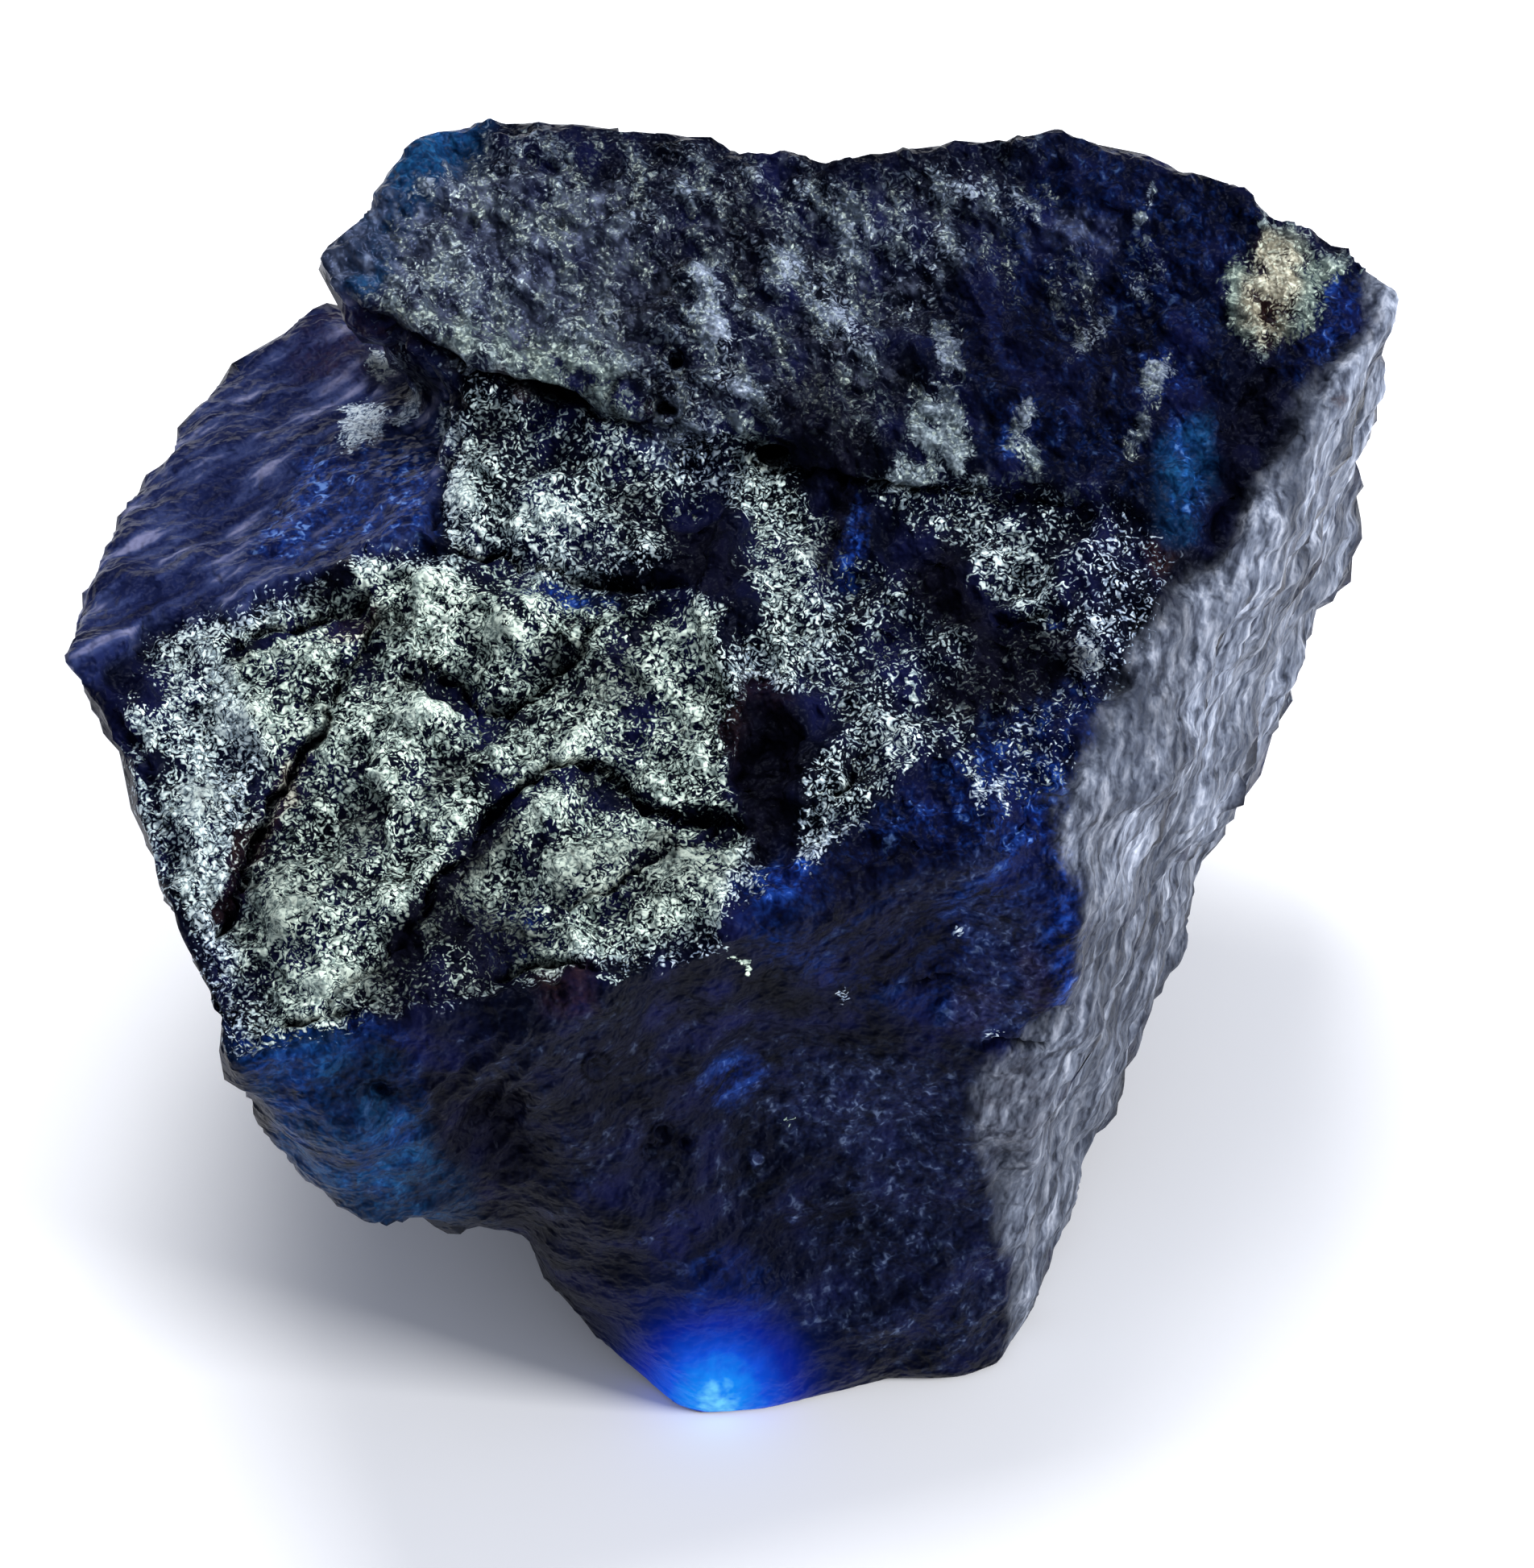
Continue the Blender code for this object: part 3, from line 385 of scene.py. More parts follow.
        (0.6, 1.8, (-0.5, 44.1, 1.2, 44.2, 1.5, 42.2, 0.4, 41.3, -0.6, 42.2)),
        (0.8, 1.6, (1.8, 37.2, 3.6, 37.9, 4.7, 35.8, 5, 33.5, 2.7, 33.8, 1.5, 35.2)),
        (1, 1, (0.4, 26.3, 1.5, 25.7, 2.3, 24.5, 2.7, 23.1, 2, 21, 1.1, 20.2, 0.2, 21.6, 0.5, 23.9,
         0.8, 25.4)),
        (1, 1, (4.1, 34.7, 4.5, 33.2, 4.1, 30.6, 3.6, 30, 3, 31.8, 3.3, 33.5)),
        (1, 1.2, (5.9, 30.6, 7.9, 31.8, 8.9, 30, 9.7, 28, 9.4, 26.6, 8.2, 28, 6.8, 28.9)),
        (0.9, 1.2, (9.4, 28.3, 12.3, 28.6, 13.4, 26.8, 11.1, 25.7, 8.5, 24.8, 7.3, 26)),
        (0.6, 1.2, (-4.3, 28, -3.1, 27.7, -2.8, 26, -4.8, 25.7, -6.3, 25.7, -5.1, 27.1)),
        (0.5, 2, (8.2, 40.8, 12, 41.3, 15.4, 38.7, 15.2, 35.8, 9.9, 35.8, 7.9, 38.1)),
        (0.85, 1, (19.5, 38.4, 20.8, 38.9, 20.1, 36.4, 18.9, 34.1, 17.2, 31.2, 16.6, 32.3, 18.1, 35.2)),
        (1, 1.2, (-8.9, 21, -7.4, 21.9, -7.4, 20.8, -8.6, 19.6, -9.8, 18.4, -11.2, 16.4, -12.7, 15.2,
         -13.5, 15.5, -11.8, 18.1, -10.1, 19.9)),
        (0.9, 1.2, (-10.2, 19.2, -7.9, 18.7, -6.3, 17.6, -7.7, 15.7, -10.6, 15.2, -10.9, 17.6)),
        (0.75, 1.6, (4.4, 21, 7, 20.8, 8.6, 20.5, 7.9, 18.4, 7.9, 16.4, 6.8, 15, 2.7, 16.4, 1.5, 17.9,
         2.7, 19.3)),
        (0.6, 1.4, (-10.6, 12.3, -8.3, 12.3, -6, 8.9, -7.7, 6.8, -10.1, 8, -11.2, 10.3)),
        (0.9, 1.2, (-9.8, 12.1, -8.3, 11.8, -7.4, 10, -8.3, 8.9, -9.2, 9.7)),
        (0.85, 1, (-2.5, 32.3, -0.8, 32.3, 0.7, 30.6, -0.2, 29.3, -1.9, 30.3)),
        (0.55, 0.8, (-14.7, 30.5, -13.7, 30.3, -13.5, 29.4, -14.7, 28.9, -15.3, 29.6)),
        (0.45, 1.2, (12.1, 22.5, 13.9, 22.5, 13.7, 19.6, 12.6, 19.6)),
        (0.9, 1, (-13.5, 38.4, -11.8, 38.4, -10.1, 37.3, -10.3, 35.8, -11.8, 36.4, -13.2, 37.3)),
        (0.55, 1.6, (15.4, 30.6, 16.5, 30.6, 16.6, 27.7, 16, 23.7, 15.6, 20.2, 15, 20.2, 15.4, 24.8,
         15.6, 28)),
        (0.35, 1.4, (17, 29.7, 17.8, 29.7, 17.9, 27.4, 17.2, 27.1)),
        (0.22, 2, (20.1, 30.9, 21.8, 30.9, 21.5, 27.7, 20.1, 27.4)),
        (0.38, 3, (12.3, 18.7, 20.1, 20.2, 17.2, 7.4, 10.8, -0.1, 9.7, 5.7, 8.8, 10.3, 9, 12.6,
         11.7, 13.8, 12.7, 16.1)),
        (0.45, 2, (16.6, 20.2, 23, 24.8, 21.2, 16.1, 16, 12.6)),
        (0.32, 1.8, (20.1, 38.4, 21.8, 38.1, 20.1, 34.7, 18.3, 31.2, 16.6, 29.4, 16.9, 32.3, 18.9, 35.8)),
        (0.85, 1, (-12.9, 13, -11.8, 13.2, -11, 12.3, -11.2, 11.1, -12.4, 11.1, -13, 12.1)),
    ],
    "brown": [
        (0.8, 1, (0.5, 26.6, 1.7, 26.6, 2, 24.8, 1.5, 23.1, 0.7, 23.4, 0.4, 24.8)),
        (0.6, 1.4, (-13.5, 40.1, -11.2, 38.7, -11.8, 37.9, -13.8, 37.3, -15.6, 37, -15.9, 38.4)),
        (0.8, 0.8, (19.2, 42.5, 20.4, 42.2, 20.1, 38.7, 18.9, 38.4, 18.1, 39.3)),
        (0.7, 0.8, (-6.9, 16.4, -4.9, 16.1, -4.8, 14.7, -6.3, 14.4)),
    ],
}

# ---- strokes: share, half width and path -------------------------------------------------------
STROKES = {
    "haze": [
        (0.8, 0.41, (5.9, 17.6, 7.9, 19.3, 9.8, 20.6)),
        (0.7, 0.29, (4.4, 18.7, 6.2, 19, 7.6, 19.6)),
    ],
    # frost and painted sheen, thinned along dark lines
    "frost": [
        (0.2, 0.26, (-1.2, 29.6, -3.1, 28.6, -4.8, 27.4, -6, 25.9)),
        (0.15, 0.55, (-8.9, 23.2, -7.7, 22.3, -9.9, 20, -11.2, 17.9, -11.8, 16.4)),
        (0.25, 0.7, (-9.6, 17.6, -8.3, 16.4)),
        (0.35, 0.41, (-8.7, 30.2, -8, 29.3, -7.4, 28.4)),
        (0.35, 0.26, (-13.2, 23.5, -11.6, 23.5)),
        (0.2, 0.2, (-3.8, 25.7, -2.7, 25.6)),
        (0.2, 0.26, (-6.3, 21, -6.9, 20.5, -7.3, 20)),
        (0.3, 0.29, (-5.6, 18.7, -4.7, 19.2, -3.9, 19.9)),
        (0.3, 0.26, (-14.7, 19, -13.9, 19.3)),
        (0.15, 0.2, (-13.2, 27, -12.9, 27.6, -12.8, 28.1)),
        (0.15, 0.35, (-15.2, 24, -16.2, 22, -17.4, 20.2, -18, 17.9)),
        (0.15, 0.17, (-17.9, 27.5, -15.9, 28.2, -14.6, 28.6, -13.1, 28.9)),
        (0.25, 0.14, (-9.2, 30.6, -7.2, 30.3, -5.4, 29.9, -3.1, 30, -1.4, 29.8)),
        (0.3, 0.29, (-10.8, 26.9, -9.9, 26.2, -8.9, 25.4, -6.4, 25.4)),
        (0.25, 0.26, (-6.6, 23, -4.8, 23.3, -3.9, 22.2, -2.4, 21.9, 0.4, 21.4)),
        (0.25, 0.2, (0.1, 21.7, -1.2, 20.9, -3.1, 20, -4.6, 19, -6.3, 18.4)),
    ],
}

# ---- dabs: share, across, up, two radii, and the first one's turn in degrees --------------------
DABS = {
    # frost and painted sheen, in patches
    "frost": [(0.95, -6.7, 31.8, 1.04, 0.99, 60), (0.95, -9.7, 33.5, 1.8, 0.46, 90),
        (0.9, -19.3, 21.9, 2.61, 2.03, 60), (0.9, 2.1, 29.7, 2.32, 1.04, 115),
        (0.85, 9.9, 30.8, 2.32, 0.87, 120), (0.64, 7.6, 35.5, 1.74, 0.75, 110),
        (0.6, 7.9, 38.4, 1.22, 0.38, 105), (0.55, 6.4, 39.6, 0.52, 0.26, 100),
        (0.14, 5.3, 38.7, 1.28, 0.7, 100), (0.55, 3.9, 39.6, 1.04, 0.52, 115),
        (0.58, 2.1, 41.4, 0.7, 0.46, 110), (0.52, 4.3, 42.4, 0.99, 0.81, 100),
        (0.6, 12.8, 39.1, 1.16, 0.58, 70), (0.62, 10.7, 35, 1.22, 0.46, 105),
        (0.58, 15.4, 37.2, 0.99, 0.58, 70), (0.55, 14.6, 35.1, 0.87, 0.41, 80),
        (0.9, 8.8, 22.9, 1.04, 0.38, 95), (0.95, 13, 27.4, 0.99, 0.52, 60),
        (0.6, 15.1, 43.9, 0.41, 0.26, 70), (0.5, 14.6, 43.2, 0.35, 0.23, 70),
        (0.75, -0.8, 41.2, 0.58, 0.41, 100), (0.9, -12.7, 35.8, 0.75, 0.41, 60),
        (0.9, -12.5, 38, 0.46, 0.41, 0), (0.85, -11.4, 36.4, 0.7, 0.35, 60),
        (0.85, 3.9, 21.8, 0.93, 0.87, 60), (0.7, 1, 20, 0.87, 0.41, 100),
        (0.5, -16.1, 22.2, 1.74, 0.87, 60), (0.8, -14.9, 17.2, 0.75, 0.58, 30),
        (0.75, -3.4, 18.1, 2.32, 1.45, 20), (0.7, -0.5, 38.7, 1.74, 0.58, 110),
        (0.6, -4.3, 39.6, 0.87, 0.41, 120), (0.95, 3, 20.9, 1.1, 0.64, 70),
        (0.85, 9.9, 22.5, 0.87, 0.29, 100), (0.22, 8.2, 44.2, 1.74, 0.7, 0),
        (0.45, -1.7, 44.2, 0.87, 0.58, 0), (0.25, -10.5, 16, 1.62, 0.99, 25),
        (1, -15.1, 29.3, 1.16, 0.46, 20), (1, -6.3, 30.5, 2.03, 0.46, -5), (0, -20.9, 26, 0.99, 0.75, 70),
        (0, -20.6, 23.4, 0.75, 0.64, 70), (0.12, -14.2, 29.9, 0.75, 0.52, 30),
        (1.1, 0.1, 16.5, 0.23, 0.14, 150), (1.1, 0.5, 16.3, 0.26, 0.14, 160),
        (1.1, 0.8, 16, 0.23, 0.14, 100), (0.6, -4.3, 15.7, 0.58, 0.14, 5),
        (0.36, 2.3, 10.8, 0.29, 0.2, 20), (0.8, 9.3, 13.8, 0.17, 0.14, 0),
        (0.8, 8.3, 17.3, 0.17, 0.14, 0), (0.8, 3.9, 15.1, 0.2, 0.17, 0),
        (0.9, -23.8, 27.5, 0.23, 0.17, 60), (0.26, 10.5, 43.7, 1.45, 0.7, 0),
        (0.22, 12.3, 40.2, 1.74, 0.99, 100), (0.24, 9.9, 41.3, 1.45, 0.75, 100),
        (0.2, 14.9, 41.3, 1.28, 0.87, 100), (1.1, -12.4, 38, 0.64, 0.41, -20),
        (1.1, -13.4, 35.7, 0.93, 0.7, 60), (1, -11.6, 36, 0.46, 0.26, 20),
        (0.9, -10.3, 35.5, 0.64, 0.26, 90)],
    "haze": [(1.2, -2.6, 34.8, 0.99, 0.58, -50), (1.6, -1.9, 7.1, 0.26, 0.2, 0),
        (1.6, 2.2, 6.8, 0.26, 0.2, 0), (1.8, -2.9, 6.2, 0.26, 0.2, 0), (1.8, -2, 5.4, 0.35, 0.23, 0),
        (1.6, 3, 3.4, 0.23, 0.23, 0), (1.6, 5.2, 12.3, 0.52, 0.26, 10), (1.6, 7, 8.9, 0.26, 0.23, 0),
        (1.6, 4.4, 8.3, 0.23, 0.2, 0), (1.6, 0.7, 9.2, 0.23, 0.2, 0), (0.6, -15.6, 38.4, 1.74, 0.75, 40),
        (1.1, -13.8, 42.2, 2.03, 1.16, 50), (0.4, 12.8, 42.5, 1.74, 0.87, 0)],
    # painted shade: darker patches over the frosted top
    "dark": [(0.42, -16.1, 18.7, 2.32, 1.62, 65), (0.42, -3.1, 19.9, 3.48, 1.45, 0),
        (0.75, -11.1, 15.5, 2.03, 1.04, 20), (0.35, -18.6, 22.3, 0.99, 0.7, 60),
        (0.35, -15.3, 22.3, 0.87, 0.7, 60), (0.4, -10.1, 16.3, 0.87, 0.7, 0),
        (0.3, -8.6, 27.7, 1.04, 0.7, 60), (0.6, -6, 27.7, 0.87, 0.7, 60),
        (0.55, -13.2, 21.6, 1.16, 0.7, 60), (0.6, -13.8, 19.7, 0.58, 0.52, 30),
        (0.55, -10.1, 23.1, 0.99, 0.58, 60), (0.55, -4.6, 23.1, 0.58, 0.46, 30),
        (0.55, -1.7, 19.9, 0.58, 0.58, 30), (0.6, -6, 19, 0.7, 0.58, 30),
        (0.25, -17.3, 26.8, 0.87, 0.58, 60), (0.6, -3.4, 32.9, 0.75, 0.75, 40),
        (0.55, -8.6, 35.5, 0.75, 0.75, 40), (0.4, -3.7, 12.1, 3.19, 2.03, 0),
        (0.65, -13, 11.8, 2.32, 1.28, 70), (0.55, -9.9, 8.1, 2.2, 0.99, -25)],
    "tone": [(1, 0.5, 16.2, 1.16, 0.87, 0), (0.6, -4.3, 15.7, 1.16, 0.46, 0),
        (1, 2.3, 10.8, 0.7, 0.58, 0)],
    "brown": [(0.35, 10.2, 10.9, 1.74, 1.16, 90), (1, 22, 36.6, 0.29, 0.26, 0),
        (0.45, 8.9, 14.8, 1.16, 0.7, 30), (0.45, 10.9, 15.7, 1.16, 0.46, 100),
        (0.9, -16.1, 21.9, 1.74, 0.29, 65), (0.9, -17.6, 19.6, 2.03, 0.29, 70),
        (0.8, 15.4, 30.9, 0.7, 0.46, 80), (0.8, -8, 37.1, 0.7, 0.23, -30),
        (0.7, -2.4, 36.1, 0.41, 0.35, 0), (0.6, -13.5, 28.6, 0.87, 0.41, 20)],
    "blue": [(1, -10.1, 46, 0.87, 0.52, 20), (1, 4.1, 31.8, 1.62, 0.58, 100),
        (1, 16.5, 33.7, 1.8, 0.58, 95), (1, 1.7, 19.4, 1.04, 0.7, 20), (1, 11.6, 28.6, 0.35, 0.35, 0),
        (0.8, -13.2, 33.5, 1.74, 1.16, 30), (0.8, -14.1, 32.3, 2.32, 0.87, 20),
        (0.7, 0.1, 12.1, 1.16, 0.87, 0), (0.35, -0.2, 4.5, 1.74, 1.45, 0),
        (0.9, 15.4, 37.3, 0.87, 0.87, 70), (0.8, -6, 29.7, 1.45, 0.41, 0),
        (0.5, 10.5, 35.2, 1.16, 0.75, 100), (0.95, 11.9, 17.6, 2.61, 0.46, 88),
        (0.8, 11.4, 22.3, 1.45, 0.7, 70), (0.5, -7.7, 17.6, 1.16, 1.16, 0)],
}


# ---- small tools --------------------------------------------------------------------------------
def eased(value, start=0.0, width=1.0):
    """A smooth step from 0 at the start to 1 a width further on."""
    value = np.clip((value - start) / width, 0.0, 1.0)
    return value * value * (3.0 - 2.0 * value)


def layout(points):
    """Across and up on the layout plane, in millimetres."""
    across = points[:, 0] - FOOT_TIP[0]
    back = points[:, 1] - FOOT_TIP[1]
    return across, back * math.sin(LAYOUT_LEAN) + points[:, 2] * math.cos(LAYOUT_LEAN)


def facing(normals):
    """How squarely the skin faces the layout plane; below zero on the far side."""
    return normals[:, 2] * math.sin(LAYOUT_LEAN) - normals[:, 1] * math.cos(LAYOUT_LEAN)


def grain_axes(name):
    """A grain's run, its other direction and the way its face looks, in the stone's own axes."""
    sine, cosine = math.sin(LAYOUT_LEAN), math.cos(LAYOUT_LEAN)
    run, face = [Vector((across, up * sine - out * cosine, up * cosine + out * sine)).normalized()
                 for across, up, out in GRAINS[name]]
    return run, face.cross(run).normalized(), face


def pairs(numbers):
    """Points from a row of numbers."""
    return list(zip(numbers[::2], numbers[1::2]))


def line_distance(across, up, path):
    """Distance of each place to a line of points, the share of the line passed, and where on
    the line's list of points it is."""
    path = np.array(path)[:, :2]
    lengths = np.hypot(*(path[1:] - path[:-1]).T)
    before = np.concatenate(([0.0], np.cumsum(lengths)))
    best = np.full(across.shape, np.inf)
    passed = np.zeros(across.shape)
    index = np.zeros(across.shape)
    for step, (start, length) in enumerate(zip(path[:-1], lengths)):
        run = (path[step + 1] - start) / length
        part = np.clip((across - start[0]) * run[0] + (up - start[1]) * run[1], 0.0, length)
        gap = np.hypot(across - start[0] - part * run[0], up - start[1] - part * run[1])
        nearer = gap < best
        best = np.where(nearer, gap, best)
        passed = np.where(nearer, (before[step] + part) / before[-1], passed)
        index = np.where(nearer, step + part / length, index)
    return best, passed, index


def inside(across, up, corners):
    """True inside a closed outline."""
    result = np.zeros(across.shape, bool)
    for (x0, y0), (x1, y1) in zip(corners, corners[1:] + corners[:1]):
        if y0 != y1:
            crosses = (up < y0) != (up < y1)
            result ^= crosses & (across < x0 + (up - y0) * (x1 - x0) / (y1 - y0))
    return result


def near(across, up, path, margin):
    """Which places lie in a path's box, grown by a margin."""
    path = np.array(path)[:, :2]
    low, high = path.min(axis=0) - margin, path.max(axis=0) + margin
    return np.nonzero((across > low[0]) & (across < high[0]) & (up > low[1]) & (up < high[1]))[0]


def area_mask(across, up, corners, feather):
    """1 inside an outline and 0 outside, easing across a band of the feather's width."""
    gap = line_distance(across, up, corners + corners[:1])[0]
    signed = np.where(inside(across, up, corners), gap, -gap)
    return eased(0.5 + signed / feather)


def soft(reach):
    """1 within about half the reach, and 0 past one and a half times it."""
    return eased(1.6 - 1.1 * reach)


def stroke_mask(across, up, path, half_width):
    """A soft line along a path."""
    return soft(line_distance(across, up, path)[0] / half_width)


def dab_mask(across, up, centre, radii, turn):
    """A soft oval, its first radius turned from across by an angle in degrees."""
    angle = math.radians(turn)
    x, y = across - centre[0], up - centre[1]
    along = (x * math.cos(angle) + y * math.sin(angle)) / radii[0]
    beside = (y * math.cos(angle) - x * math.sin(angle)) / radii[1]
    return soft(np.hypot(along, beside))


def wandered(across, up, pushes):
    """Places pushed about at random, so that a drawn edge comes out ragged."""
    for size, reach in pushes:
        push = np.array([noise.noise_vector((x / size, y / size, size))
                         for x, y in zip(across.tolist(), up.tolist())])
        across, up = across + reach * push[:, 0], up + reach * push[:, 1]
    return across, up


def colour(code):
    """A hex colour as the linear colour that shaders use."""
    channels = [int(code[i:i + 2], 16) / 255.0 for i in (1, 3, 5)]
    return tuple(c / 12.92 if c <= 0.04045 else ((c + 0.055) / 1.055) ** 2.4
                 for c in channels) + (1.0,)


# ---- the skin -----------------------------------------------------------------------------------
def read_skin(piece):
    """The skin's points in millimetres and its outward directions."""
    mesh = piece.data
    points = np.empty(3 * len(mesh.vertices))
    mesh.vertices.foreach_get("co", points)
    normals = np.empty(3 * len(mesh.vertices))
    mesh.vertex_normals.foreach_get("vector", normals)
    return points.reshape(-1, 3) / MM, normals.reshape(-1, 3)


def write_skin(piece, points):
    """Put the points back, none of them outside the solid's box or below the floor."""
    low, high = np.array(CAD_BOUNDS) / MM
    points = np.clip(points, low, high - BOX_MARGIN)
    piece.data.vertices.foreach_set("co", (points * MM).ravel())
    piece.data.update()


def apply_modifiers(piece):
    """Apply every modifier on the piece, in order."""
    bpy.context.view_layer.objects.active = piece
    for step in list(piece.modifiers):
        bpy.ops.object.modifier_apply(modifier=step.name)


def copy_of_node(node, name):
    """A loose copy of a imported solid, with its doubled points merged and no finish."""
    bpy.ops.object.select_all(action="DESELECT")
    piece = node.copy()
    piece.data = node.data.copy()
    piece.name = piece.data.name = name
    for key in list(piece.keys()):
        del piece[key]
    piece.parent = None
    bpy.context.scene.collection.objects.link(piece)
    piece.data.materials.clear()
    bpy.context.view_layer.objects.active = piece
    piece.select_set(True)
    bpy.ops.object.mode_set(mode="EDIT")
    bpy.ops.mesh.select_all(action="SELECT")
    bpy.ops.mesh.remove_doubles(threshold=MM * MERGE_GAP)
    bpy.ops.mesh.customdata_custom_splitnormals_clear()
    bpy.ops.object.mode_set(mode="OBJECT")
    return piece


def fine_skin(piece, settings):
    """An even fine skin, with the solid's flat facets smoothed into one surface."""
    skin = piece.modifiers.new("fine_skin", "REMESH")
    skin.mode = "VOXEL"
    skin.voxel_size = settings.skin_cell
    melt = piece.modifiers.new("melted_facets", "SMOOTH")
    melt.factor = 0.5
    melt.iterations = settings.melt_rounds
    apply_modifiers(piece)


def weigh(piece, name, values):
    """A vertex group with these weights, in even steps."""
    group = piece.vertex_groups.new(name=name)
    steps = np.round(np.clip(values, 0.0, 1.0) * WEIGHT_STEPS).astype(int)
    for step in range(1, WEIGHT_STEPS + 1):
        group.add(np.nonzero(steps == step)[0].tolist(), step / WEIGHT_STEPS, "REPLACE")


def rough(piece, name, kind, size, height, weights, grain, stretch, texture_settings):
    """Roughness of one size over the weighted part of the skin. A grain turns its pattern and
    stretches it."""
    texture = bpy.data.textures.new(name, kind)
    texture.noise_scale = size * MM
    for key, value in texture_settings.items():
        setattr(texture, key, value)
    weigh(piece, name, weights)
    step = piece.modifiers.new(name, "DISPLACE")
    step.texture = texture
    step.strength = height * MM
    step.mid_level = 0.5
    step.vertex_group = name
    step.texture_coords = "LOCAL"
    holder = None
    if grain:
        run, side, face = grain_axes(grain)
        holder = bpy.data.objects.new(name, None)
        bpy.context.scene.collection.objects.link(holder)
        holder.matrix_world = Matrix((run * stretch, side, face)).to_4x4()
        bpy.context.view_layer.update()
        step.texture_coords = "OBJECT"
        step.texture_coords_object = holder
    apply_modifiers(piece)
    if holder:
        bpy.data.objects.remove(holder)
    bpy.data.textures.remove(texture)
    piece.vertex_groups.remove(piece.vertex_groups[name])


def open_cracks(points, normals, seen, crack):
    """Cracks with steep sides, and narrow ridges. The width varies along each."""
    across, up = wandered(*layout(points), CRACK_WANDER)
    moved = points.copy()
    for paths, way, end in ((CRACKS, -1.0, CRACK_END), (RIDGES, 1.0, RIDGE_END)):
        for path in paths:
            widths, heights = np.array(path).T[2:]
            pick = near(across, up, path, PATH_REACH)
            gap, passed, index = line_distance(across[pick], up[pick], path)
            width = np.interp(index, np.arange(len(path)), widths)
            height = np.interp(index, np.arange(len(path)), heights)
            ends = eased(passed, 0.0, end) * eased(passed, 1.0, -end) * seen[pick]
            shape = (height * np.exp(-(gap / width) ** 2) * ends)[:, None]
            moved[pick] += way * normals[pick] * shape
            if paths is CRACKS:
                # painted shade: the crack is painted darker the deeper it is
                shade = np.exp(-(gap / (1.15 * width)) ** 4) * ends
                shade = shade * np.clip(height / DEEP, 0.0, 1.0)
                crack[pick] = np.maximum(crack[pick], shade)
    return moved


def open_pits(points, normals, seen, crack):
    """Round pits, most with a low raised rim."""
    across, up = layout(points)
    moved = points.copy()
    for centre, radii, depth, rim in PITS:
        reach = np.hypot((across - centre[0]) / radii[0], (up - centre[1]) / radii[1])
        bowl = depth * eased(reach, 1.35, -1.0)
        ring = rim * np.exp(-((reach - 1.15) / 0.22) ** 2)
        moved -= normals * ((bowl - ring) * seen)[:, None]
        # painted shade: black in the pit by its depth, with a dark ring round it
        shade = eased(reach, 0.85, -0.3) * min(depth / DEEP, 1.0)
        halo = 0.85 * np.exp(-((reach - 1.5) / 0.25) ** 2)
        crack[:] = np.maximum(crack, np.maximum(shade, halo) * seen)
    return moved


def in_sight(points, normals):
    """1 on the side that faces the layout plane, and 0 on the far side."""
    x, y, z = points.T
    corner = eased(x, HIDDEN_CORNER[0], CORNER_FADE) * eased(y, HIDDEN_CORNER[1], CORNER_FADE)
    corner = corner * eased(z, HIDDEN_CORNER[2], -CORNER_FADE)
    return eased(facing(normals), *SEEN_FADE) * (1.0 - corner)


def painted(points, normals, seen):
    """The share of each finish at each point of the skin."""
    across, up = layout(points)
    finish = {name: np.zeros(len(points)) for name in FINISHES}
    tip = np.hypot((across - TIP[0]) / TIP_REACH, (up - TIP[1]) / TIP_REACH)
    # painted glow in the foot's tip
    finish["glow"] = np.exp(-tip ** 2) * seen
    finish["raised"][:] = 0.5
    far = eased(facing(normals), *FAR_FADE)
    patches = np.array([noise.noise(place) for place in (points / PATCH_SIZE).tolist()])
    patches = eased(0.5 + PATCH_EDGE * patches)
    for name, (bare, frosted) in FAR_SHARES.items():
        finish[name] += (bare + (frosted - bare) * patches) * far
    across, up = wandered(across, up, EDGE_WANDER)

    def lay(name, value, path, margin, mask, *shape):
        """Bring a finish to a value where the mask covers the seen side."""
        pick = near(across, up, path, margin)
        amount = mask(across[pick], up[pick], *shape) * seen[pick]
        finish[name][pick] += (value - finish[name][pick]) * amount

    for name, rows in AREAS.items():
        for value, feather, numbers in rows:
            corners = pairs(numbers)
            lay(name, value, corners, feather, area_mask, corners, feather)
    for name, rows in STROKES.items():
        for value, half_width, numbers in rows:
            path = pairs(numbers)
            lay(name, value, path, 1.5 * half_width, stroke_mask, path, half_width)
    for name, rows in DABS.items():
        for value, x, y, long, short, turn in rows:
            lay(name, value, [(x, y)], 1.5 * long, dab_mask, (x, y), (long, short), turn)
    return finish


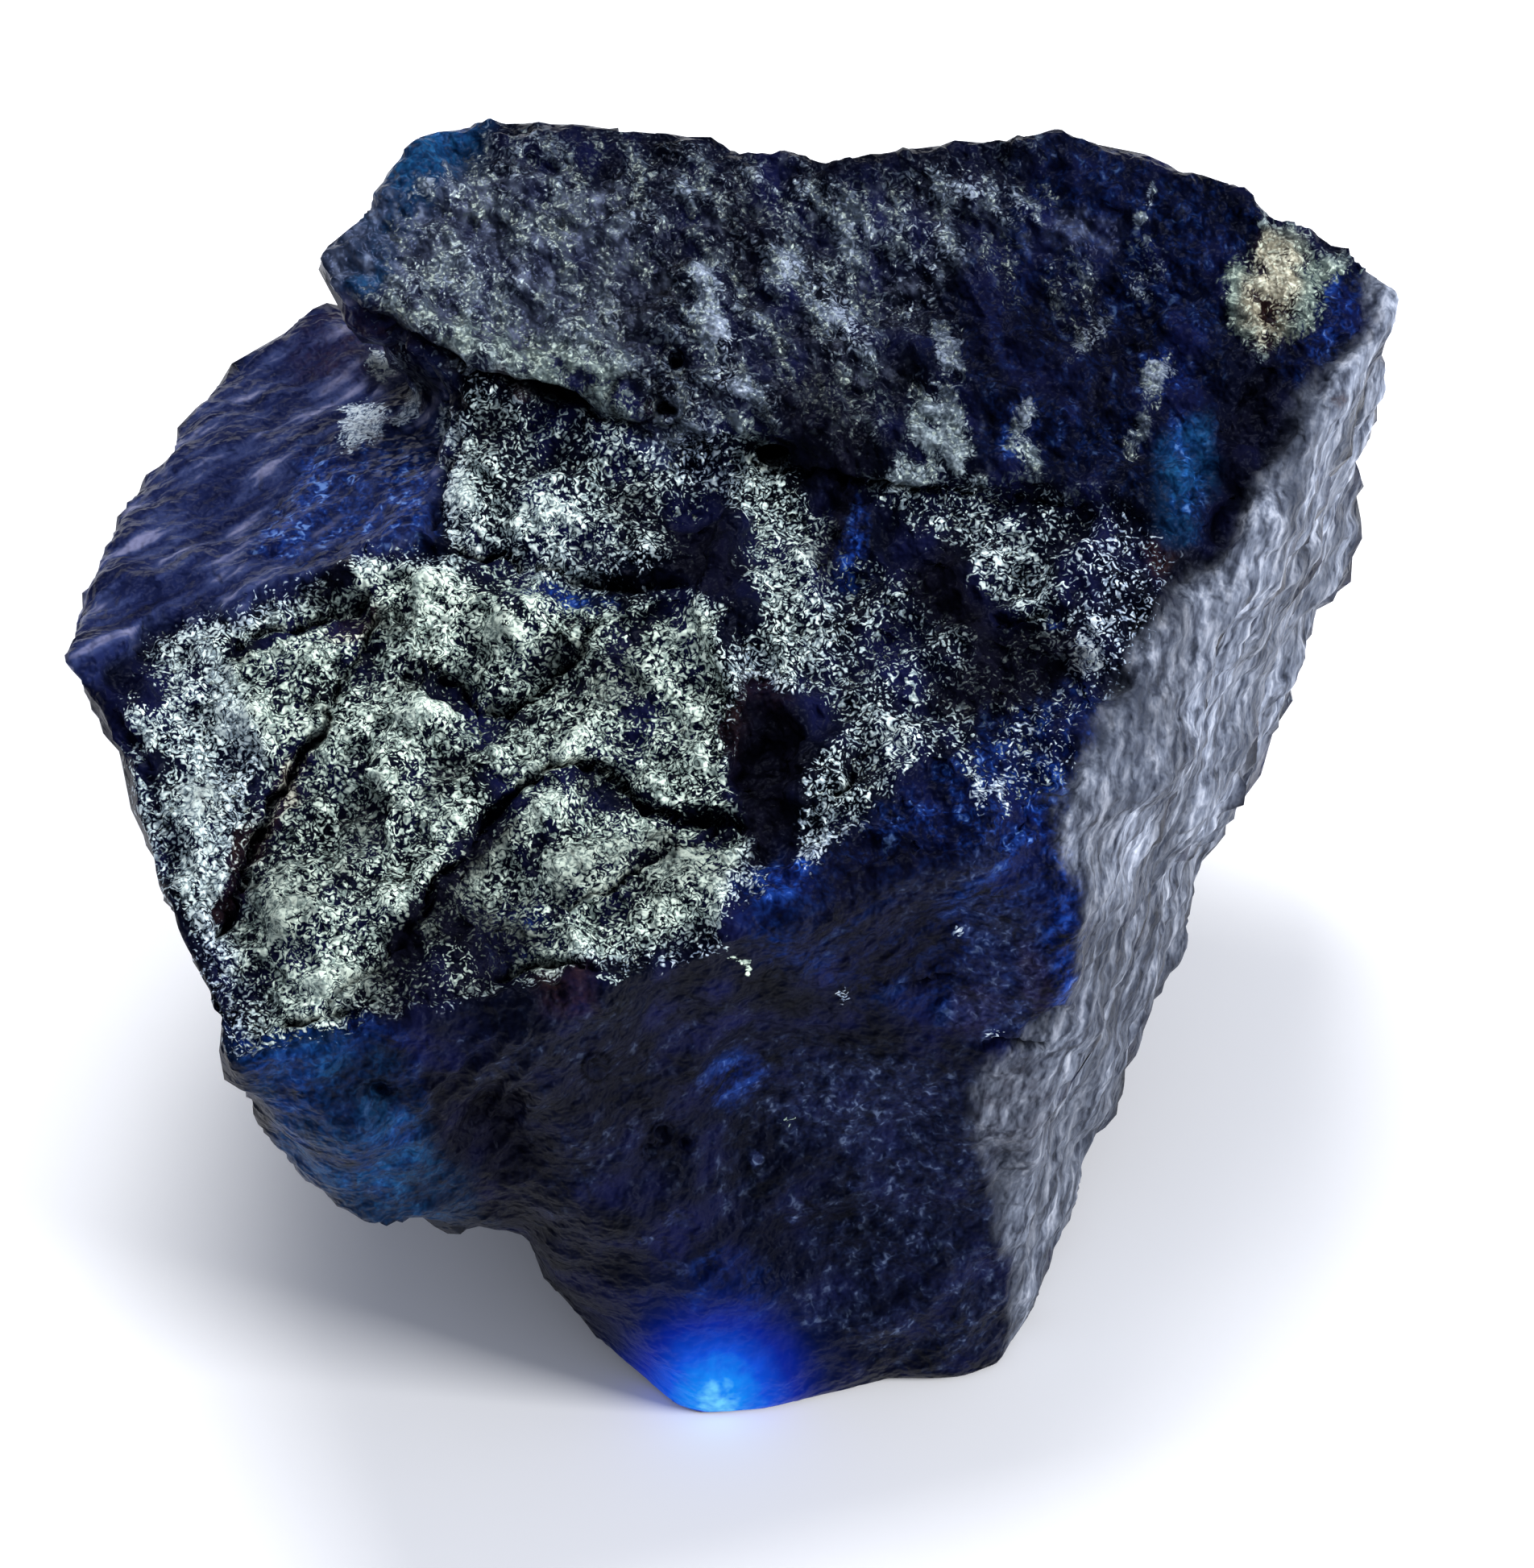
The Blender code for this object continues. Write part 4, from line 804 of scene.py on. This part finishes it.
def shape_relief(piece, normals, hidden, finish, settings):
    """Everything that raises or cuts the fine skin. It also records the painted shade in cracks and pits.
    """
    before = read_skin(piece)[0]
    clear = eased(before[:, 2], *FOOT_EDGE)
    side, left, low, rear = [finish[name] for name in ("side", "left", "low", "rear")]
    top = np.clip(1.0 - side - left - low - hidden, 0.0, 1.0)
    top = clear * (top * eased(facing(normals), *TOP_FADE))
    zones = {"top": top, "front_top": top * (1.0 - rear), "rear_top": top * rear,
             "lumpy_top": top * (0.7 + 0.3 * rear), "side": clear * side, "left": clear * left,
             "low": clear * low, "hidden": clear * hidden}
    for name, kind, size, height, zone, grain, stretch, texture_settings in RELIEF:
        rough(piece, name, kind, size, height * settings.relief, zones[zone], grain, stretch,
              texture_settings)

    points = read_skin(piece)[0]
    # raised share: the material paints raised skin paler (painted light) and hollows darker (painted
    # shade)
    rise = ((points - before) * normals).sum(axis=1)
    finish["raised"] = np.clip(0.5 + rise / RAISED_SPAN, 0.0, 1.0)
    seen = 1.0 - hidden
    points = open_cracks(points, normals, seen, finish["crack"])
    points = open_pits(points, normals, seen, finish["crack"])
    write_skin(piece, points)


def thin_out(piece, settings, hidden):
    """Fewer triangles, most of them taken from the far side."""
    weigh(piece, "far_side", 0.25 + 0.75 * hidden)
    count = sum(len(face.vertices) - 2 for face in piece.data.polygons)
    step = piece.modifiers.new("fewer_faces", "DECIMATE")
    step.ratio = min(1.0, settings.face_budget / count)
    step.use_collapse_triangulate = True
    step.vertex_group = "far_side"
    step.vertex_group_factor = 1.0
    apply_modifiers(piece)
    piece.vertex_groups.clear()


def store(piece, finish):
    """Keep each finish's share on the skin, for the material to read."""
    for name, values in finish.items():
        layer = piece.data.attributes.new(name, "FLOAT", "POINT")
        layer.data.foreach_set("value", values.astype(np.float32))


# ---- the finish ---------------------------------------------------------------------------------
PLUS, MINUS, TIMES = {"operation": "ADD"}, {"operation": "SUBTRACT"}, {"operation": "MULTIPLY"}
TIMES_PLUS = {"operation": "MULTIPLY_ADD"}
COLOURS = {"data_type": "RGBA"}


def add_node(tree, kind, settings, *inputs, output=0):
    """Add a shader node with its settings, and give its open inputs, in order, a value or
    another node's output. None leaves an input as it is. Returns one of its open outputs."""
    node = tree.nodes.new("ShaderNode" + kind)
    for key, value in settings.items():
        if key == "stops":
            band = node.color_ramp.elements
            while len(band) < len(value):
                band.new(0.5)
            for element, (place, shade) in zip(band, value):
                element.position = place
                element.color = shade
        else:
            setattr(node, key, value)
    for socket, value in zip([socket for socket in node.inputs if socket.enabled], inputs):
        if isinstance(value, bpy.types.NodeSocket):
            tree.links.new(value, socket)
        elif value is not None:
            socket.default_value = value
    return [socket for socket in node.outputs if socket.enabled][output]


def cover(add, amount, pattern, softness):
    """Where a finish shows: its share decides how much of the pattern rises above the edge."""
    level = add("Math", PLUS, amount, pattern)
    return add("MapRange", {"interpolation_type": "SMOOTHSTEP"}, level,
               add("Math", MINUS, 1.0, softness), add("Math", PLUS, 1.0, softness))


def rough_corundum(settings):
    """Rough corundum, broken and never polished: a near-black navy body that is clear blue where
    light gets in, dull grainy break faces, and a patchy pale frost that scatters the light.
    Parts are painted light: sheen in the palest frost, glints in the blue, shade in hollows,
    dark patches and cracks, and a glow in the foot's tip."""
    material = bpy.data.materials.new("rough_corundum")
    material.use_nodes = True
    tree = material.node_tree
    add = partial(add_node, tree)

    share = SimpleNamespace(**{name: add("Attribute", {"attribute_name": name}, output=2)
                               for name in FINISHES})
    places = {"all": add("TexCoord", {}, output=3)}
    for name, (grain_name, stretch) in PLACES.items():
        turn = Matrix(grain_axes(grain_name)).transposed().to_euler()
        places[name] = add("Mapping", {"vector_type": "TEXTURE"}, places["all"], None, turn,
                           (stretch, 1.0, 1.0))
    grain = SimpleNamespace()
    for name, (place, size, detail, roughness, distortion) in PATTERNS.items():
        made = add("TexNoise", {}, places[place], 1.0 / (size * MM), detail, roughness, None,
                   distortion)
        setattr(grain, name, add("MapRange", {}, made, *NOISE_RANGE))
    curls = add("Math", TIMES_PLUS, grain.fine, 2.0, -1.0)
    curls = add("Math", {"operation": "ABSOLUTE"}, curls)

    # clear royal blue where light gets into the stone: in grains, or in a smooth flow low down; the
    # palest grains are painted glints
    deep = add("Math", TIMES, share.blue, add("Mix", {}, grain.small, 0.55, 1.0))
    grains = add("Math", TIMES, grain.fine, grain.small)
    grains = add("Math", TIMES_PLUS, share.left, 0.12, grains)
    smooth = add("Math", TIMES_PLUS, grain.fine, 0.30, -0.22)
    smooth = add("Math", TIMES_PLUS, grain.small, 0.10, smooth)
    smooth = add("Math", TIMES_PLUS, grain.flow, 0.56, smooth)
    grain.sparks = add("Mix", {}, share.low, grains, smooth)

    # thin translucent edges, and grey bloom over the lower front and the rear block
    thin = add("Math", TIMES, share.teal, add("Mix", {}, grain.broad, 0.55, 1.0))
    grain.wash = add("Math", TIMES_PLUS, grain.fine, 0.5, add("Math", TIMES, grain.broad, 0.5))
    mist = add("Math", TIMES_PLUS, grain.flow, 0.4, add("Math", TIMES, grain.small, 0.4))
    bloom = add("Math", TIMES, cover(add, share.haze, mist, 0.5), 0.7)
    grain.specks = add("Math", TIMES_PLUS, grain.small, 0.60, -0.20)
    grain.specks = add("Math", TIMES_PLUS, grain.fine, 0.80, grain.specks)
    break_face = add("Math", TIMES, share.left, add("Mix", {}, share.blue, 1.0, 0.25))

    # frost with painted sheen: pale grains and crumbs over the broad top, thicker where the skin is
    # raised; its palest colour is painted sheen
    swing = add("Math", TIMES_PLUS, grain.patch, 0.5, -0.5)
    swing = add("Math", TIMES_PLUS, grain.small, 0.5, swing)
    swing = add("Math", TIMES, swing, add("Mix", {}, share.rear, 0.5, 1.0))
    wear_and_sheen = add("Math", TIMES_PLUS, share.raised, add("Mix", {}, share.rear, 0.50, 1.20),
               add("Mix", {}, share.rear, 0.72, 0.36))
    wear_and_sheen = add("Math", PLUS, swing, wear_and_sheen)
    wear_and_sheen = add("Math", TIMES, add("Math", {"operation": "POWER"}, share.frost, 0.6), wear_and_sheen)
    bumps = add("Math", TIMES_PLUS, grain.crumbs, 0.55, add("Math", TIMES, curls, 0.6))
    softness = add("Math", TIMES, add("Mix", {}, share.rear, 0.06, 0.30),
                   add("Mix", {}, share.frost, 1.0, 0.1))
    rime_and_sheen = cover(add, wear_and_sheen, add("Mix", {}, share.rear, curls, bumps), softness)
    some = add("Math", {"operation": "MINIMUM"}, add("Math", TIMES, share.frost, 6.0), 1.0)
    rime_and_sheen = add("Math", TIMES, rime_and_sheen, some)
    # painted light and shade: the frost is paler where the skin is raised and darker in hollows
    pale = add("Math", TIMES_PLUS, share.frost, 0.35, -0.31)
    for pattern, front, rear in ((curls, 0.44, 0.20), (grain.crumb, 0.30, 0.16),
                                 (share.raised, 0.42, 0.62)):
        pale = add("Math", TIMES_PLUS, pattern, add("Mix", {}, share.rear, front, rear), pale)
    grain.pale = pale

    # brown stain in the valleys, and the painted glow in the foot's tip, an emission though the stone is
    # no lamp
    stain = add("Math", TIMES, share.brown, add("Mix", {}, grain.small, 0.2, 0.8))
    stain = add("Math", TIMES, stain, add("Mix", {}, rime_and_sheen, 1.0, 0.3))
    grain.lamp = add("Math", TIMES, share.glow, add("Mix", {}, grain.small, 0.85, 1.02))

    # the shades, and from the ground up what lies over what
    shade = SimpleNamespace()
    for name, (pattern, stops) in SHADES.items():
        stops = [(place, colour(code) if code[0] == "#" else getattr(settings, code))
                 for place, code in stops]
        setattr(shade, name, add("ValToRGB", {"stops": stops}, getattr(grain, pattern)))
    streaks = add("Mix", {}, grain.streak, 0.95, -0.25)
    fibres = add("Mix", COLOURS, streaks, shade.lilac, colour("#2e333e"))
    mist = add("Mix", COLOURS, share.rear, shade.front_mist, shade.rear_mist)
    cool = add("Mix", COLOURS, share.rear, shade.cool, shade.slate)
    warm = add("Mix", COLOURS, share.rear, shade.warm, shade.moss)
    warm = add("Mix", COLOURS, share.brown, warm, shade.ivory)
    frost = add("Mix", COLOURS, share.tone, cool, warm)
    body = shade.ground
    # painted shade: the shadow shade over dark patches, and near-black in cracks and pits
    for amount, top in ((deep, shade.sparks), (thin, shade.wash), (bloom, mist),
                        (break_face, shade.indigo), (share.side, fibres), (rime_and_sheen, frost),
                        (stain, shade.stain), (share.dark, shade.shadow),
                        (share.crack, colour("#010103"))):
        body = add("Mix", COLOURS, amount, body, top)

    # the right face is dull, and the frost and the rear bloom scatter the most light
    gloss = add("Mix", {}, share.side, add("Mix", {}, rime_and_sheen, 0.40, 0.38), 0.6)
    shine = add("Mix", {}, rime_and_sheen, 0.06, 0.50)
    for amount, value in ((add("Math", TIMES, share.rear, share.haze), 0.75), (share.left, 0.08),
                          (share.side, 0.20), (share.low, 0.045), (share.dark, 0.03),
                          (share.crack, 0.0)):
        shine = add("Mix", {}, amount, shine, value)
    glint = add("Mix", COLOURS, rime_and_sheen, colour("#505c80"), colour("#d6e8da"))

    # fine tooth of the broken surface
    strength = add("Mix", {}, share.low, 1.0, 0.8)
    tooth = None
    for pattern, height in ((grain.crumbs, 0.18), (grain.teeth, 0.11)):
        tooth = add("Bump", {}, strength, height * MM, None, pattern, tooth)

    surface = tree.nodes["Principled BSDF"].inputs
    for name, value in (("Base Color", body), ("Specular Tint", glint), ("Roughness", gloss),
                        ("Normal", tooth), ("Specular IOR Level", shine),
                        ("Emission Color", shade.tip)):
        tree.links.new(value, surface[name])
    surface["IOR"].default_value = CORUNDUM_IOR
    surface["Emission Strength"].default_value = settings.tip_light
    return material


def pale_paper(settings):
    """Matt white paper, which gives the clean pale ground."""
    material = bpy.data.materials.new("pale_paper")
    material.use_nodes = True
    surface = material.node_tree.nodes["Principled BSDF"].inputs
    surface["Base Color"].default_value = settings.floor_colour
    surface["Roughness"].default_value = 1.0
    surface["Specular IOR Level"].default_value = 0.0
    return material


def soft_light(name, place, size, power, target):
    """A square softbox that looks at the target."""
    bpy.ops.object.light_add(type="AREA", location=place)
    lamp = bpy.context.object
    lamp.name = name
    lamp.data.shape = "SQUARE"
    lamp.data.size = size
    lamp.data.energy = power
    lamp.visible_camera = False
    lamp.rotation_euler = (target - Vector(place)).to_track_quat("-Z", "Y").to_euler()


# ---- settings, operators and panel --------------------------------------------------------------
def length(name, description, default, **limits):
    """A size that a user can change."""
    return FloatProperty(name=name, description=description, default=default, precision=5,
                         unit="LENGTH", subtype="DISTANCE", **limits)


def point(name, description, default):
    """A place that a user can change."""
    return FloatVectorProperty(name=name, description=description, default=default, size=3,
                               precision=5, unit="LENGTH", subtype="TRANSLATION")


def tint(name, description, code):
    """A colour that a user can change."""
    return FloatVectorProperty(name=name, description=description, default=colour(code), size=4,
                               min=0.0, max=1.0, subtype="COLOR")


class StoneSettings(bpy.types.PropertyGroup):
    skin_cell: length("Skin cell", "Cell of the fine skin", 0.17 * MM, min=0.1 * MM, max=1.0 * MM)
    melt_rounds: IntProperty(name="Smoothing rounds", default=36, min=0, max=200,
                             description="Rounds that melt the solid's flat facets")
    relief: FloatProperty(name="Relief", description="Share of the full height of the grain",
                          default=1.0, min=0.0, max=2.0, subtype="FACTOR")
    face_budget: IntProperty(name="Triangles", description="Triangles left in the stone",
                             default=196000, min=10000, max=199000)
    ground: tint("Ground", "Dark body of the stone", "#060818")
    royal_blue: tint("Royal blue", "Where light gets into the stone", "#1a4298")
    teal: tint("Teal", "Thin translucent edges", "#1c5684")
    lilac: tint("Lilac", "Palest fibres of the right face", "#bcc2d0")
    # the palest frost colours are partly painted sheen
    cool_frost: tint("Cool frost", "Palest grey frost", "#cad6de")
    warm_frost: tint("Warm frost", "Palest green frost", "#d0dfcc")
    stain: tint("Stain", "Brown in the valleys", "#3a2318")
    # the colour and strength of the painted glow in the foot's tip
    tip_blue: tint("Tip", "Blue of the foot's lit tip", "#0c84f2")
    tip_light: FloatProperty(name="Tip light", default=1.0, min=0.0, max=10.0,
                             description="Strength of the light that shows in the foot's tip")


class StageSettings(bpy.types.PropertyGroup):
    floor_size: length("Floor", "Side of the floor", 5.0)
    floor_colour: tint("Floor colour", "White of the paper", "#fafafb")
    box_place: point("Overhead softbox", "Its middle, over the stone", (-0.08, 0.33, 0.65))
    box_size: length("Overhead size", "Side of the softbox over the stone", 0.36)
    box_power: FloatProperty(name="Overhead power", description="Its power in watts", default=5.0)
    side_place: point("Side softbox", "Its middle, at the right", (0.88, -0.28, 0.36))
    side_size: length("Side size", "Side of the softbox at the right", 0.34)
    side_power: FloatProperty(name="Side power", description="Its power in watts", default=12.5)
    room_light: FloatProperty(name="Room light", default=0.58,
                              description="Strength of the even light of the room")
    room_colour: tint("Room colour", "Colour of the even light of the room", "#dfe6f8")
    elevation: FloatProperty(name="Camera height", default=LAYOUT_LEAN, unit="ROTATION",
                             description="Angle of the camera above the horizon", subtype="ANGLE")
    distance: length("Camera distance", "From the stone's middle to the camera", 1.5)
    target: point("Camera target", "The middle of the picture", (1.325 * MM, -1.14 * MM, 17 * MM))
    frame_width: length("Picture width", "Width of the picture at the stone", 55.19 * MM)


class SAPPHIRE_OT_stone(bpy.types.Operator):
    """Model the rough stone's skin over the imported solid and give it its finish"""
    bl_idname = "sapphire.stone"
    bl_label = "Rough stone"
    bl_options = {"REGISTER", "UNDO"}

    def execute(self, context):
        settings = context.scene.sapphire_stone
        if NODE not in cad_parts:
            raise RuntimeError("the packed model has no solid named " + NODE)
        noise.seed_set(NOISE_SEED)
        piece = copy_of_node(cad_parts[NODE], PIECE)
        fine_skin(piece, settings)
        points, normals = read_skin(piece)
        seen = in_sight(points, normals)
        finish = painted(points, normals, seen)
        shape_relief(piece, normals, 1.0 - seen, finish, settings)
        store(piece, finish)
        thin_out(piece, settings, 1.0 - seen)
        bpy.ops.object.select_all(action="DESELECT")
        piece.select_set(True)
        bpy.ops.object.shade_smooth()
        piece.data.materials.append(rough_corundum(settings))
        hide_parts(NODE)
        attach(piece, "root")
        return {"FINISHED"}


class SAPPHIRE_OT_stage(bpy.types.Operator):
    """Add the pale floor, the soft light and the camera"""
    bl_idname = "sapphire.stage"
    bl_label = "Floor, light and camera"
    bl_options = {"REGISTER", "UNDO"}

    def execute(self, context):
        settings = context.scene.sapphire_stage
        bpy.ops.mesh.primitive_plane_add(size=settings.floor_size, location=(0.0, 0.0, 0.0))
        floor = context.object
        floor.name = "floor"
        floor.data.materials.append(pale_paper(settings))

        world = bpy.data.worlds.new("studio")
        world.use_nodes = True
        room = world.node_tree.nodes["Background"]
        room.inputs["Color"].default_value = settings.room_colour
        room.inputs["Strength"].default_value = settings.room_light
        world.cycles_visibility.glossy = False
        context.scene.world = world

        middle = Vector(settings.target)
        soft_light("softbox_overhead", settings.box_place, settings.box_size,
                   settings.box_power, middle)
        soft_light("softbox_side", settings.side_place, settings.side_size,
                   settings.side_power, middle)

        away = Vector((0.0, -math.cos(settings.elevation), math.sin(settings.elevation)))
        bpy.ops.object.camera_add(location=middle + away * settings.distance)
        camera = context.object
        camera.name = "camera"
        camera.rotation_euler = (-away).to_track_quat("-Z", "Y").to_euler()
        camera.data.sensor_fit = "HORIZONTAL"
        camera.data.sensor_width = SENSOR_WIDTH
        camera.data.lens = SENSOR_WIDTH * settings.distance / settings.frame_width
        camera.data.clip_start = 0.05
        camera.data.clip_end = 20.0
        camera.data.dof.use_dof = False
        context.scene.camera = camera
        context.scene.view_settings.view_transform = "Standard"
        return {"FINISHED"}


class SAPPHIRE_PT_panel(bpy.types.Panel):
    """The stone and its stage"""
    bl_idname = "SAPPHIRE_PT_panel"
    bl_label = "Rough Sapphire"
    bl_space_type = "VIEW_3D"
    bl_region_type = "UI"
    bl_category = "Sapphire"

    def draw(self, context):
        for settings, operator in ((context.scene.sapphire_stone, "sapphire.stone"),
                                   (context.scene.sapphire_stage, "sapphire.stage")):
            box = self.layout.box()
            for name in settings.bl_rna.properties.keys():
                if name not in ("rna_type", "name"):
                    box.prop(settings, name)
            box.operator(operator)


CLASSES = (StoneSettings, StageSettings, SAPPHIRE_OT_stone, SAPPHIRE_OT_stage, SAPPHIRE_PT_panel)


def register():
    for item in CLASSES:
        bpy.utils.register_class(item)
    bpy.types.Scene.sapphire_stone = PointerProperty(type=StoneSettings)
    bpy.types.Scene.sapphire_stage = PointerProperty(type=StageSettings)


def unregister():
    del bpy.types.Scene.sapphire_stage
    del bpy.types.Scene.sapphire_stone
    for item in reversed(CLASSES):
        bpy.utils.unregister_class(item)


def main():
    register()
    bpy.ops.sapphire.stone()
    bpy.ops.sapphire.stage()


if __name__ == "__main__":
    main()
